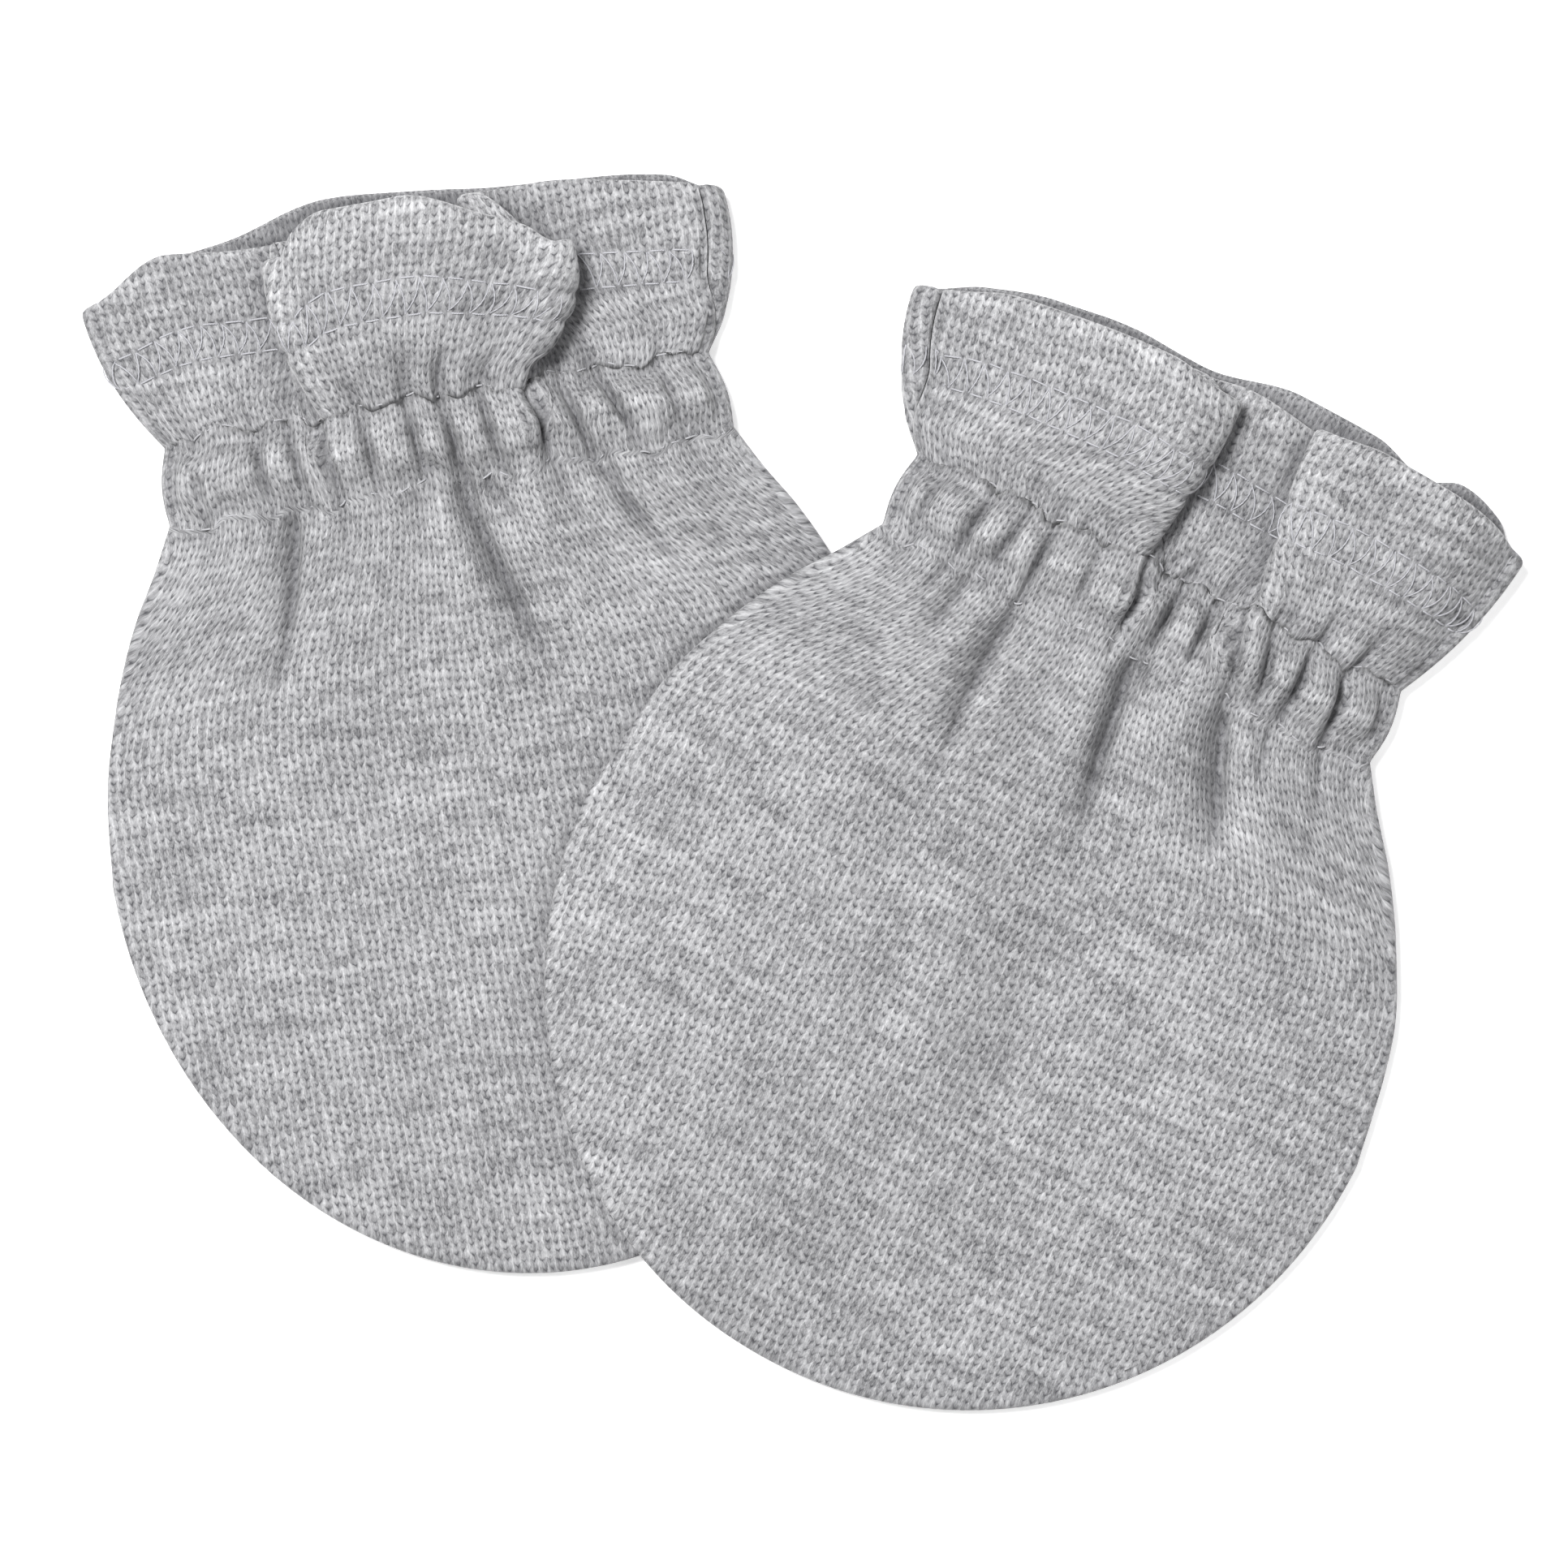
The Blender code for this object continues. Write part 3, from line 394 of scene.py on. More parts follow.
def ruffleRow(mitten, u, r, isFront):
    top, share = cloth["wristTop"], 1 - r
    left, right = gridEdges(mitten, r, isFront)
    hemLeft, hemRight = gridEdges(mitten, 0.0, isFront)
    if isFront:
        rows, radius = [], cloth["turnRadius"]
        for turn, rise, wrist, middle, midHeight, hem, along, hemHeight in mitten["folds"]:
            for part in ((-1, 0, 1) if turn else (0,)):    # a turn has two shoulders, an edge
                back, up = -turn * abs(part) * radius, rise * part * radius
                rows.append((wrist + part * cloth["turnRoot"], middle + back, midHeight + up,
                             hem + back, along, hemHeight + up))
        rows = np.array(rows)
        start, end = [edge[0] for edge in gridEdges(mitten, 1.0, True)]
        inset = np.minimum(rows[:, 0] - start, end - rows[:, 0])
        root = frontHeight(mitten, rows[:, 0], top, inset, 1.0)
        across = throughMiddle(share, rows[:, 0], rows[:, 1], rows[:, 3])
        height = throughMiddle(share, root, rows[:, 2], rows[:, 5])
        hemAlong, ends = rows[:, 4], rimHeight(r) - wallAt(r) / 2
    else:
        rows = np.array(mitten["backWaves"])
        across = rows[:, 0] + (rows[:, 1] - rows[:, 0]) * (1 - (1 - share) ** 1.5)
        height = wallAt(r) / 2 + rows[:, 3] * share ** 2
        hemAlong, ends = rows[:, 2], wallAt(r) / 2
    across = np.concatenate([[left[0]], across, [right[0]]])
    height = np.concatenate([[ends], height, [ends]])
    along = np.concatenate([[hemLeft[1]], hemAlong, [hemRight[1]]])
    run = np.cumsum(np.maximum(np.hypot(np.diff(across), np.diff(height)), cloth["leastRun"]))
    knots = np.concatenate([[0], run / run[-1]])
    return np.stack([spline(u, knots, across), top + share * (fair(u, knots, along) - top),
                     (spline if isFront else fair)(u, knots, height)], axis=-1)


def bodyPlan(mitten, u, r, isFront):
    v = r - 2
    topLeft, topRight = gridEdges(mitten, 2.0, isFront)
    left, right = gridEdges(mitten, r, isFront)
    lowLeft, lowRight = gridEdges(mitten, 3.0, isFront)
    tip = tipRow(mitten, u, isFront)
    u = u[:, None]
    top = topLeft + u * (topRight - topLeft)
    ends = (1 - v) * top + v * (lowLeft + u * (lowRight - lowLeft))
    return (1 - v) * top + v * tip + (1 - u) * left + u * right - ends


tipRows = {}


def tipRow(mitten, u, isFront):
    key = (mitten["place"], len(u), isFront)
    if key not in tipRows:
        inset = innerInset(mitten, 0, 3.0, isFront)
        frames = [rimFrame(mitten, place, True) for place in u]
        tipRows[key] = np.array([here + inward * inset for here, inward in frames])
    return tipRows[key]


def middleRow(mitten, u, r, isFront):    # the middle of the wall along one row
    if r < 1:
        return ruffleRow(mitten, u, r, isFront)
    if r <= 2:
        left, right = gridEdges(mitten, r, isFront)
        across = left[0] + u * (right[0] - left[0])
        along = left[1] + u * (right[1] - left[1])
        inset = np.minimum(across - left[0], right[0] - across)
    else:
        across, along = bodyPlan(mitten, u, r, isFront).T
        inset = outlineInset(mitten, across, along) - rimHeight(r) / 2
    if isFront:
        height = frontHeight(mitten, across, along, inset, r)
    else:
        height = np.full(across.shape, wallAt(r) / 2)
    return np.stack([across, along, height], axis=-1)


# ---- relief of the cloth's outer face ----

relief = {
    "ridge": 1.6, "ridgeShape": 1.1, "wristInside": 0.5,    # the wrist between its rows
    # a gather's crease: depth, share of it at the rows, width, share and reach of its slopes
    "groove": 2.8, "grooveEnds": 0.3, "grooveWidth": 0.42, "slopes": 0.3, "slopeRight": 0.9,
    "slopeLeft": 1.7, "grooveRows": (0.97, 2.08),
    # the same crease on down the body: depth, length, how it varies, start, lean, spread,
    # width, its growth, how much narrower and wider its sides are, and the sharp line in it
    "fan": 0.9, "fanLength": 7.0, "fanVaries": 4.0, "fanStep": 2.4, "fanStart": 0.3,
    "fanLean": 0.9, "fanSpread": 0.012, "fanWidth": 0.75, "fanGrowth": 1.1, "fanRight": 0.6,
    "fanLeft": 1.4, "fanBroad": 0.7, "fanSharp": 0.6, "fanReach": 0.35,
    # long creases: depth, and weight and reach of the easy side, its line and the steep side
    "line": 1.1, "ease": (0.5, 2.6), "sharp": (0.95, 0.4), "steep": (1.45, 0.32),
    # how the stitched lines rise and fall: height, pace and start of each wave, and reach
    "wander": [(0.34, 1.05, 0.8), (0.2, 2.27, 2.0), (0.22, 0.43, 0.0)], "wanderReach": 1.9,
    "ruffleLength": 17.0, "hemLength": 16.0, "ruffleEnd": 1.02, "rootFrom": 0.66,
    "needleDent": 0.26, "wristDents": (-0.4, 0.2), "dentWidth": 0.42, "puckerPitch": 2.6,
    "waves": 0.05, "waveCount": 16, "seed": 4,
    "backGroove": 0.5, "backBand": 0.16,
    "edge": 0.03,                  # share of the width in which all of it fades out
}


def wristSwell(r):
    return np.abs(np.sin(math.pi * np.clip(r - 1, 0, 1))) ** relief["ridgeShape"]


def gatherCut(mitten, across, along, r):    # tight creases between the wrist's gathers
    total, ends, slopes = np.zeros(np.shape(across)), relief["grooveEnds"], relief["slopes"]
    for topAcross, start, bottomAcross, end, depth in mitten["grooves"]:
        away, share = lineShare(across, along, (topAcross, start), (bottomAcross, end))
        onRight = across > topAcross + (bottomAcross - topAcross) * share
        reach = np.where(onRight, relief["slopeRight"], relief["slopeLeft"])
        narrow = np.exp(-(away / relief["grooveWidth"]) ** 1.3)
        broad = (1 - np.clip(away / reach, 0, 1)) ** 1.6
        deep = relief["groove"] * depth * (ends + (1 - ends) * wristSwell(r))
        total = np.maximum(total, deep * ((1 - slopes) * narrow + slopes * broad))
    return total * (r > relief["grooveRows"][0]) * (r < relief["grooveRows"][1])


def gatherFan(mitten, across, along):    # the gathers die out down the body
    total = np.zeros(np.shape(across))
    for k, (topAcross, _, bottomAcross, _, depth) in enumerate(mitten["grooves"]):
        length = relief["fanLength"] + relief["fanVaries"] * math.sin(k * relief["fanStep"])
        slant = (bottomAcross - topAcross) / -cloth["wristTop"]
        lean = (slant * relief["fanLean"] + bottomAcross * relief["fanSpread"]) * length
        away, share = lineShare(across, along, (bottomAcross, relief["fanStart"]),
                                (bottomAcross + lean, length))
        sides = np.where(across > bottomAcross + lean * share, relief["fanRight"],
                         relief["fanLeft"])
        width = (relief["fanWidth"] + relief["fanGrowth"] * share) * sides
        total += relief["fan"] * depth * (1 - share) ** 1.5 * (
            relief["fanBroad"] * np.exp(-(away / width) ** 1.4)
            + relief["fanSharp"] * np.exp(-away / relief["fanReach"]))
    return total


def creaseLine(mitten, across, along):    # a sharper bottom, easy on its left side
    total = np.zeros(np.shape(across))
    for away, share, onRight, depth in alongCreases(mitten, across, along):
        fade = smooth((1 - share) / 0.6) * smooth((share + 0.05) / 0.16)
        ease, sharp, steep = [weight * np.exp(-(away / reach) ** power) for (weight, reach), power
                              in ((relief["ease"], 1.2), (relief["sharp"], 1),
                                  (relief["steep"], 1))]
        total = np.maximum(total, depth * fade * np.where(onRight, steep, ease + sharp))
    return total * relief["line"]


def pleatRelief(mitten, u, r):
    total, width, long = np.zeros(np.shape(u)), cloth["cutWidth"], relief["ruffleLength"]
    for startU, startR, endU, endR, depth, wide in mitten["pleats"]:
        away, share = lineShare(u * width, r * long, (startU * width, startR * long),
                                (endU * width, endR * long))
        total += depth * smooth((1 - share) / 0.8) * np.exp(-(away / (wide * (0.7 + share))) ** 2)
    left = mitten["ruffleLeft"][0] + 1.7
    span = mitten["ruffleRight"][0] - 1.7 - left
    root = smooth((r - relief["rootFrom"]) / (1 - relief["rootFrom"]))
    for topAcross, _, _, _, depth in mitten["grooves"]:    # each gather's crease begins here
        away = np.abs(u - (topAcross - left) / span) * width
        total += 0.9 * depth * root * np.exp(-(away / 0.9) ** 1.5)
    return total * (r < relief["ruffleEnd"])


def softWaves(x, y):    # broad unevenness of cloth that has been washed
    draw = np.random.default_rng(relief["seed"])
    total = np.zeros(np.shape(x))
    for _ in range(relief["waveCount"]):
        angle, length = draw.uniform(0, math.pi), draw.uniform(7, 19)
        phase = draw.uniform(0, 2 * math.pi)
        total += np.sin(2 * math.pi * (x * math.cos(angle) + y * 0.6 * math.sin(angle)) / length
                        + phase)
    return relief["waves"] * total


def wander(across, along, r):    # the stitched lines are pulled up and down by the gathers
    shift = sum(high * np.sin(across * pace + start) for high, pace, start in relief["wander"])
    total = np.zeros(np.shape(along))
    for n, line in ((1, cloth["wristTop"]), (2, 0.0)):
        near = np.exp(-((along - line) / relief["wanderReach"]) ** 2) * (np.abs(r - n) < 0.45)
        total += shift * n ** 0.3 * near
    return total


def stitchDents(r, along, x):
    dents, wide = np.zeros(np.shape(along)), relief["dentWidth"]
    for row in cloth["needleRows"]:
        dents += relief["needleDent"] * np.exp(-((r - row) * relief["hemLength"] / wide) ** 2)
    pucker = 0.72 + 0.28 * np.cos(2 * math.pi * x / relief["puckerPitch"])
    for line, n, deep in zip((cloth["wristTop"], 0.0), (1, 2), relief["wristDents"]):
        near = np.abs(r - n) < 0.3
        dents += deep * np.exp(-((along - line) / wide) ** 2) * near * pucker
    return dents


# ---- from a mitten's frame to the table ----

def toTable(mitten, points):
    (x, y), turn = mitten["place"], mitten["turn"]
    centre = cloth["pairCentre"]
    across, along = points[..., 0], points[..., 1]
    return np.stack([x + across * math.cos(turn) + along * math.sin(turn) - centre[0],
                     y + across * math.sin(turn) - along * math.cos(turn) - centre[1],
                     points[..., 2]], axis=-1)


def lapLift(points):    # how far the left mitten raises the right one
    under = mittens["left"]
    turn = under["turn"]
    x = points[..., 0] + cloth["pairCentre"][0] - under["place"][0]
    y = points[..., 1] + cloth["pairCentre"][1] - under["place"][1]
    across = x * math.cos(turn) + y * math.sin(turn)
    along = x * math.sin(turn) - y * math.cos(turn)
    inset = outlineInset(under, across, along)
    edge = cloth["lapGap"] + cloth["rimBody"] + cloth["lapRoom"]
    over = edge + crown(along) * puff(inset - cloth["rimBody"] / 2 + cloth["lapSlack"])
    return np.where(inset > 0, over,
                    edge * smooth((inset + cloth["lapFall"])
                                  / (cloth["lapFall"] - cloth["lapFlat"])))


def settle(name, points):
    mitten = mittens[name]
    settled = toTable(mitten, points)
    if name == "right":
        flat = settled.reshape(-1, 3)
        for start in range(0, len(flat), 400):
            flat[start:start + 400, 2] += lapLift(flat[start:start + 400])
    return settled * mm


# ---- panels ----

grid = {"columns": 240, "backColumns": 120, "rings": 6,
        "ruffle": 44, "wrist": 30, "body": 84, "bodySpread": 1.15}

# painted shade: how much darker the bottom of each kind of relief is painted, and how far what
# lies round
# a place shades it in paint: inside the opening, at the panel's rim, and how much less on the body
shade = {
    "cut": 0.12, "fan": 0.18, "pleats": 0.25, "dents": 0.4, "inside": 0.26,
    "rim": 0.75, "rimReach": 0.05, "bodyLess": 0.6, "bodyStart": 2.15, "bodyFade": 0.3,
    "ends": 0.5,
}


def rowPlan():
    rows = [k / grid["ruffle"] for k in range(grid["ruffle"])]
    rows += [1 + k / grid["wrist"] for k in range(grid["wrist"])]
    rows += [2 + (k / grid["body"]) ** grid["bodySpread"] for k in range(grid["body"] + 1)]
    return np.array(rows)


def unit(vectors):
    return vectors / np.maximum(np.linalg.norm(vectors, axis=-1, keepdims=True), 1e-9)


def clothPlace(mitten, u, r, across, along):    # place on the flat cloth, in millimetres
    half = cloth["cutWidth"] / 2
    wristHalf = (mitten["ruffleRight"][0] - mitten["ruffleLeft"][0]) / 2 - 1.6
    gathered = half / wristHalf - 1
    body = across * (1 + gathered * np.exp(-(along / 11) ** 2))
    return np.stack([np.where(r <= 2, (u - 0.5) * 2 * half, body), along], axis=-1)


def panelShape(mitten, isFront):
    columns = grid["columns" if isFront else "backColumns"]
    u, rows = np.linspace(0, 1, columns + 1), rowPlan()
    middle = np.array([middleRow(mitten, u, r, isFront) for r in rows])
    if isFront:
        normal = unit(np.cross(np.gradient(middle, axis=1), np.gradient(middle, axis=0)))
    else:
        normal = np.broadcast_to([0.0, 0.0, -1.0], middle.shape)
    uu, rr = np.meshgrid(u, rows)
    edge = smooth(np.minimum(uu, 1 - uu) / relief["edge"])
    across, along = middle[..., 0], middle[..., 1].copy()
    middle[..., 1] += wander(across, along, rr) * edge
    flat = clothPlace(mitten, uu, rr, across, along)
    half, swell = wallAt(rr) / 2, wristSwell(rr) * edge
    cut = gatherCut(mitten, across, along, rr) * edge
    fan = np.where(rr >= 2, np.maximum(gatherFan(mitten, across, along),
                                       creaseLine(mitten, across, along)), 0) * edge
    fan = np.maximum(fan - cut, 0)
    pleats = np.maximum(pleatRelief(mitten, uu, rr) * edge - cut, 0)
    dents = stitchDents(rr, along, flat[..., 0]) * edge
    waves = (softWaves(flat[..., 0] + (0 if isFront else 31), flat[..., 1])
             * smooth((3 - rr) / 0.12) * edge)
    if isFront:    # where the outer face goes in deep, the inner one goes with it
        outside = half + relief["ridge"] * swell - cut - fan - pleats - dents + waves
        inside = np.maximum(half, 0.9 * wallAt(rr) - outside)
    else:    # flat where it rests, so creases only cut in
        band = smooth((rr - 0.35) / 0.03) * smooth((0.585 - rr) / 0.03) * edge
        small = (cut * 0.4 + fan + pleats + dents + band * relief["backBand"] + waves.clip(0))
        outside = half - np.clip(small, 0, relief["backGroove"])
        inside = half + relief["wristInside"] * swell
    # painted shade: the bottoms of gathers, creases, pleats and stitch dents are painted darker
    paintedShade = np.clip(cut * shade["cut"] + fan * shade["fan"] + pleats * shade["pleats"]
                     + dents * shade["dents"], 0, 1)
    sides = (middle + normal * outside[..., None], middle - normal * inside[..., None])
    return u, rows, flat, sides, paintedShade


def rimRings(mitten, here, inward, side, r, isFront):    # the wall on its way to the seam
    rim, wall = rimHeight(r), float(wallAt(r))
    bend, seam = (rim - wall) / 2, seamLength(mitten, side, r)
    if isFront:
        start = math.pi * bend + innerInset(mitten, side, r, True) - rim / 2
        end = seam + cloth["seamGap"] / 2
    else:
        start, end = 0.0, seam - cloth["seamGap"] / 2
    rings, points, drift = grid["rings"], [[], []], []
    for ring in range(1, rings + 1):
        s = start + (end - start) * ring / rings
        shift = 0.0
        if ring == rings:
            shift, s = end - seam, seam
        place, out, onward = roundTheRim(s, rim, wall)
        sink = cloth["seamSink"] * math.exp(-(abs(s + shift - end) / cloth["sinkReach"]) ** 2)
        for one, half in zip(points, (wall / 2 - sink, -wall / 2 + sink * 0.5)):
            inset, height = place + out * half + onward * shift
            one.append([*(here + inward * inset), height])
        drift.append(abs(start - s))
    return np.array(points), np.array(drift)


def shadedShare(u, rows, wide, isFront):    # how far a place is shaded, in paint, by what lies round it
    rings = grid["rings"]
    share = np.full((2, len(rows), wide), shade["rim"])
    share[:, :, rings:rings + len(u)] += ((1 - shade["rim"])
                                          * smooth(np.minimum(u, 1 - u) / shade["rimReach"]))
    onBody = smooth((rows[:, None] - shade["bodyStart"]) / shade["bodyFade"])
    share *= 1 - shade["bodyLess"] * onBody
    if not isFront:
        share[0] = 0
    return share.ravel()


def panelFaces(last, columns, wide):    # quads over both faces, the tip and the hem
    rings, steps = grid["rings"], len(cloth["hemWrap"])
    main = np.arange(2 * (last + 1) * wide).reshape(2, last + 1, wide)
    tip = main.size + np.arange(2 * rings * (columns - 1)).reshape(2, rings, columns - 1)
    hem = main.size + tip.size + np.arange(steps * wide).reshape(steps, wide)
    faces, seams = [], []

    def strip(first, second, turned):
        a, b, c, d = first[:-1], first[1:], second[1:], second[:-1]
        faces.append(np.stack([d, c, b, a] if turned else [a, b, c, d], axis=-1))

    for k in range(2):
        for j in range(last):
            strip(main[k, j], main[k, j + 1], k == 1)
        before = main[k, last, rings:rings + columns + 1]
        for ring in range(rings):
            ends = main[k, last, rings - 1 - ring], main[k, last, rings + columns + 1 + ring]
            after = np.concatenate([[ends[0]], tip[k, ring], [ends[1]]])
            strip(before, after, k == 1)
            before = after
        seams.append(np.concatenate([main[k, :, 0], before[1:-1], main[k, ::-1, -1]]))
    strip(seams[1], seams[0], False)
    before = main[0, 0]
    for row in [*hem, main[1, 0]]:
        strip(before, row, True)
        before = row
    quads = np.concatenate(faces).tolist()
    for end, turned in ((0, False), (-1, True)):
        ring = [int(main[0, 0, end]), *hem[:, end].tolist(), int(main[1, 0, end])]
        quads.append(ring if turned else ring[::-1])
    return quads


def faceOutward(mesh):
    bm = bmesh.new()
    bm.from_mesh(mesh)
    bmesh.ops.recalc_face_normals(bm, faces=bm.faces)
    bm.to_mesh(mesh)
    bm.free()


def buildPanel(name, isFront):
    mitten = mittens[name]
    u, rows, flat, sides, paintedShade = panelShape(mitten, isFront)
    rings, columns, last = grid["rings"], len(u) - 1, len(rows) - 1
    wide, inner = columns + 1 + 2 * rings, slice(rings, rings + columns + 1)
    shape = np.zeros((2, last + 1, wide, 3))
    place, deep = np.zeros((last + 1, wide, 2)), np.zeros((last + 1, wide))
    shape[:, :, inner], place[:, inner], deep[:, inner] = sides, flat, paintedShade
    for side, edge in ((-1, rings), (1, rings + columns)):
        at = edge + side * np.arange(1, rings + 1)
        for j, r in enumerate(rows):
            here, inward = rimFrame(mitten, (side, r), False)
            points, drift = rimRings(mitten, here, inward, side, r, isFront)
            shape[:, j, at] = points
            place[j, at] = place[j, edge] - inward * drift[:, None]
    tip = np.zeros((2, rings, columns - 1, 3))
    tipPlace = np.zeros((rings, columns - 1, 2))
    for i in range(1, columns):
        here, inward = rimFrame(mitten, u[i], True)
        points, drift = rimRings(mitten, here, inward, 0, 3.0, isFront)
        tip[:, :, i - 1] = points
        tipPlace[:, i - 1] = place[last, rings + i] - inward * drift[:, None]
    # the hem's edge is rounded from the outer face to the inner one
    steps = len(cloth["hemWrap"])
    centre, half = (shape[0, 0] + shape[1, 0]) / 2, (shape[0, 0] - shape[1, 0]) / 2
    onward = unit(centre - (shape[0, 1] + shape[1, 1]) / 2)
    angles = [math.pi * (k + 1) / (steps + 1) for k in range(steps)]
    bulge = np.linalg.norm(half, axis=-1, keepdims=True) * 0.8
    hem = np.array([centre + half * math.cos(a) + onward * bulge * math.sin(a) for a in angles])

    points = np.concatenate([shape.reshape(-1, 3), tip.reshape(-1, 3), hem.reshape(-1, 3)])
    over = [place[0] - [0, wrap] for wrap in cloth["hemWrap"]]
    places = np.concatenate([place.reshape(-1, 2)] * 2 + [tipPlace.reshape(-1, 2)] * 2 + over)
    mesh = bpy.data.meshes.new(f"{name}{'Front' if isFront else 'Back'}Cloth")
    mesh.from_pydata(settle(name, points), [], panelFaces(last, columns, wide))
    faceOutward(mesh)
    mesh.shade_smooth()
    layer = mesh.uv_layers.new(name="clothPlace")
    corners = np.zeros(len(mesh.loops), int)
    mesh.loops.foreach_get("vertex_index", corners)
    layer.data.foreach_set("uv", (places[corners] + (0 if isFront else 53.7)).ravel())
    # painted shade on the back's inner face inside the cuff, and a set weight of painted shade for
    # the tip and the hem
    inside = np.zeros(deep.shape) + (0 if isFront else shade["inside"] * (rows[:, None] < 1))
    ends = np.zeros(len(points) - 2 * deep.size)
    return mesh, {
        "rows": rows, "outer": shape[0], "name": name,
        "top": settle(name, shape[0 if isFront else 1]) / mm,
        "paintedShadeBase": np.concatenate([deep.ravel(), inside.ravel(), ends]),
        "shaded": np.concatenate([shadedShare(u, rows, wide, isFront), ends + shade["ends"]])}


# ---- painted shade and painted highlight: how deep each place lies among what is round it ----

field = {
    "cell": 0.4, "reach": (76.0, 66.0),
    # reach of the average, depth that goes darkest in painted shade, how dark, how much paler
    # crests are painted
    "scales": [(0.7, 1.2, 0.36, 0.45), (1.7, 3.0, 0.4, 0.35), (3.2, 6.0, 0.3, 0.05)],
}


def denser(points, times):
    for axis, count in enumerate(times):
        last = points.shape[axis] - 1
        at = np.linspace(0, last, last * count + 1)
        low = np.minimum(at.astype(int), last - 1)
        share = (at - low).reshape([-1 if k == axis else 1 for k in range(3)])
        points = (np.take(points, low, axis) * (1 - share)
                  + np.take(points, low + 1, axis) * share)
    return points


def cellPlaces(points):
    return [(points[:, k] + field["reach"][k]) / field["cell"] for k in (0, 1)]


def topField(tops):    # the highest cloth over each cell of the table
    top = np.zeros([int(2 * reach / field["cell"]) for reach in field["reach"]])
    for points in tops:
        points = denser(points, (3, 2)).reshape(-1, 3)
        i, j = [place.astype(int) for place in cellPlaces(points)]
        np.maximum.at(top, (i, j), points[:, 2])
    return top


def blurred(values, sigma):
    taps = np.arange(-int(3 * sigma), int(3 * sigma) + 1)
    weights = np.exp(-0.5 * (taps / sigma) ** 2)
    for axis in (0, 1):
        values = np.apply_along_axis(np.convolve, axis, values, weights / weights.sum(), "same")
    return values


def paintHollowShade(mesh, panel, top):
    places = np.zeros(len(mesh.vertices) * 3)
    mesh.vertices.foreach_get("co", places)
    places = places.reshape(-1, 3) / mm
    x, y = [place - 0.5 for place in cellPlaces(places)]
    i, j = x.astype(int), y.astype(int)
    a, b = x - i, y - j
    # places lower than the cloth round them are given painted shade, crests a painted highlight;
    # this is stored as an attribute the material reads
    clear, covered = 1 - panel["paintedShadeBase"], (top > 0.05).astype(float)
    for reach, deepest, most, paintedHighlight in field["scales"]:
        sigma = reach / field["cell"]
        soft = blurred(top, sigma) / blurred(covered, sigma).clip(0.05)
        around = (soft[i, j] * (1 - a) * (1 - b) + soft[i + 1, j] * a * (1 - b)
                  + soft[i, j + 1] * (1 - a) * b + soft[i + 1, j + 1] * a * b)
        sunk = np.clip((around - places[:, 2]) / deepest, -paintedHighlight, 1)
        clear = clear * (1 - most * sunk * panel["shaded"])
    mesh.attributes.new("paintedShade", "FLOAT", "POINT").data.foreach_set("value", 1 - clear)


# ---- short calls for building node trees ----

class Wiring:
    def __init__(self, tree):
        self.tree, self.nodes, self.links = tree, tree.nodes, tree.links

    def add(self, kind, inputs=None, **settings):
        node = self.nodes.new(kind)
        for key, value in settings.items():
            setattr(node, key, value)
        for key, value in (inputs or {}).items():
            self.feed(node, key, value)
        return node

    def feed(self, node, key, value):
        if isinstance(value, bpy.types.NodeSocket):
            self.links.new(value, node.inputs[key])
        else:
            node.inputs[key].default_value = value

    def math(self, operation, *values):
        return self.add("ShaderNodeMath", dict(enumerate(values)), operation=operation).outputs[0]

    def plus(self, a, b):
        return self.math("ADD", a, b)

    def minus(self, a, b):
        return self.math("SUBTRACT", a, b)

    def times(self, a, b):
        return self.math("MULTIPLY", a, b)

    def centred(self, value, weight):    # a value round a half, turned to one round nought
        return self.times(self.minus(value, 0.5), weight)

    def vector(self, operation, inputs):
        return self.add("ShaderNodeVectorMath", inputs, operation=operation).outputs[0]

    def noise(self, place, scale, detail, roughness=0.5, kind="2D"):
        return self.add("ShaderNodeTexNoise", {
            "Vector": place, "Scale": scale, "Detail": detail, "Roughness": roughness},
            noise_dimensions=kind).outputs

    def attribute(self, name):
        return self.add("ShaderNodeAttribute", attribute_name=name).outputs["Fac"]

    def mix(self, share, first, second):
        return self.add("ShaderNodeMix", {0: share, 6: first, 7: second}, data_type="RGBA")

    def bump(self, height, strength, distance, **onward):
        return self.add("ShaderNodeBump", {"Height": height, "Strength": strength,
                                           "Distance": distance, **onward}).outputs[0]


def newGroup(name, inputs, outputs, treeKind="ShaderNodeTree"):
    tree = bpy.data.node_groups.new(name, treeKind)
    for kind, label, value in inputs:
        socket = tree.interface.new_socket(label, in_out="INPUT", socket_type="NodeSocket" + kind)
        if value is not None:
            socket.default_value = value
    for kind, label in outputs:
        tree.interface.new_socket(label, in_out="OUTPUT", socket_type="NodeSocket" + kind)
    wiring = Wiring(tree)
    return tree, wiring, wiring.add("NodeGroupInput").outputs, wiring.add("NodeGroupOutput")


def newMaterial(name):
    material = bpy.data.materials.new(name)
    material.use_nodes = True
    wiring = Wiring(material.node_tree)
    return material, wiring, wiring.nodes["Principled BSDF"]


# ---- sewing ----

sewing = {
    "needlePitch": 2.1, "wristPitch": 1.75, "gap": 0.28, "backLift": 0.12, "dip": 0.12, "seed": 7,
    # each kind of thread: width, arch on the front and on the back, bow, wobble
    "HemStitches": (0.18, 0.10, 0.10, 0.0, 0.07),
    "HemLoopers": (0.15, 0.36, 0.26, 0.35, 0.10),
    "WristStitches": (0.18, 0.02, 0.02, 0.0, 0.15),
}


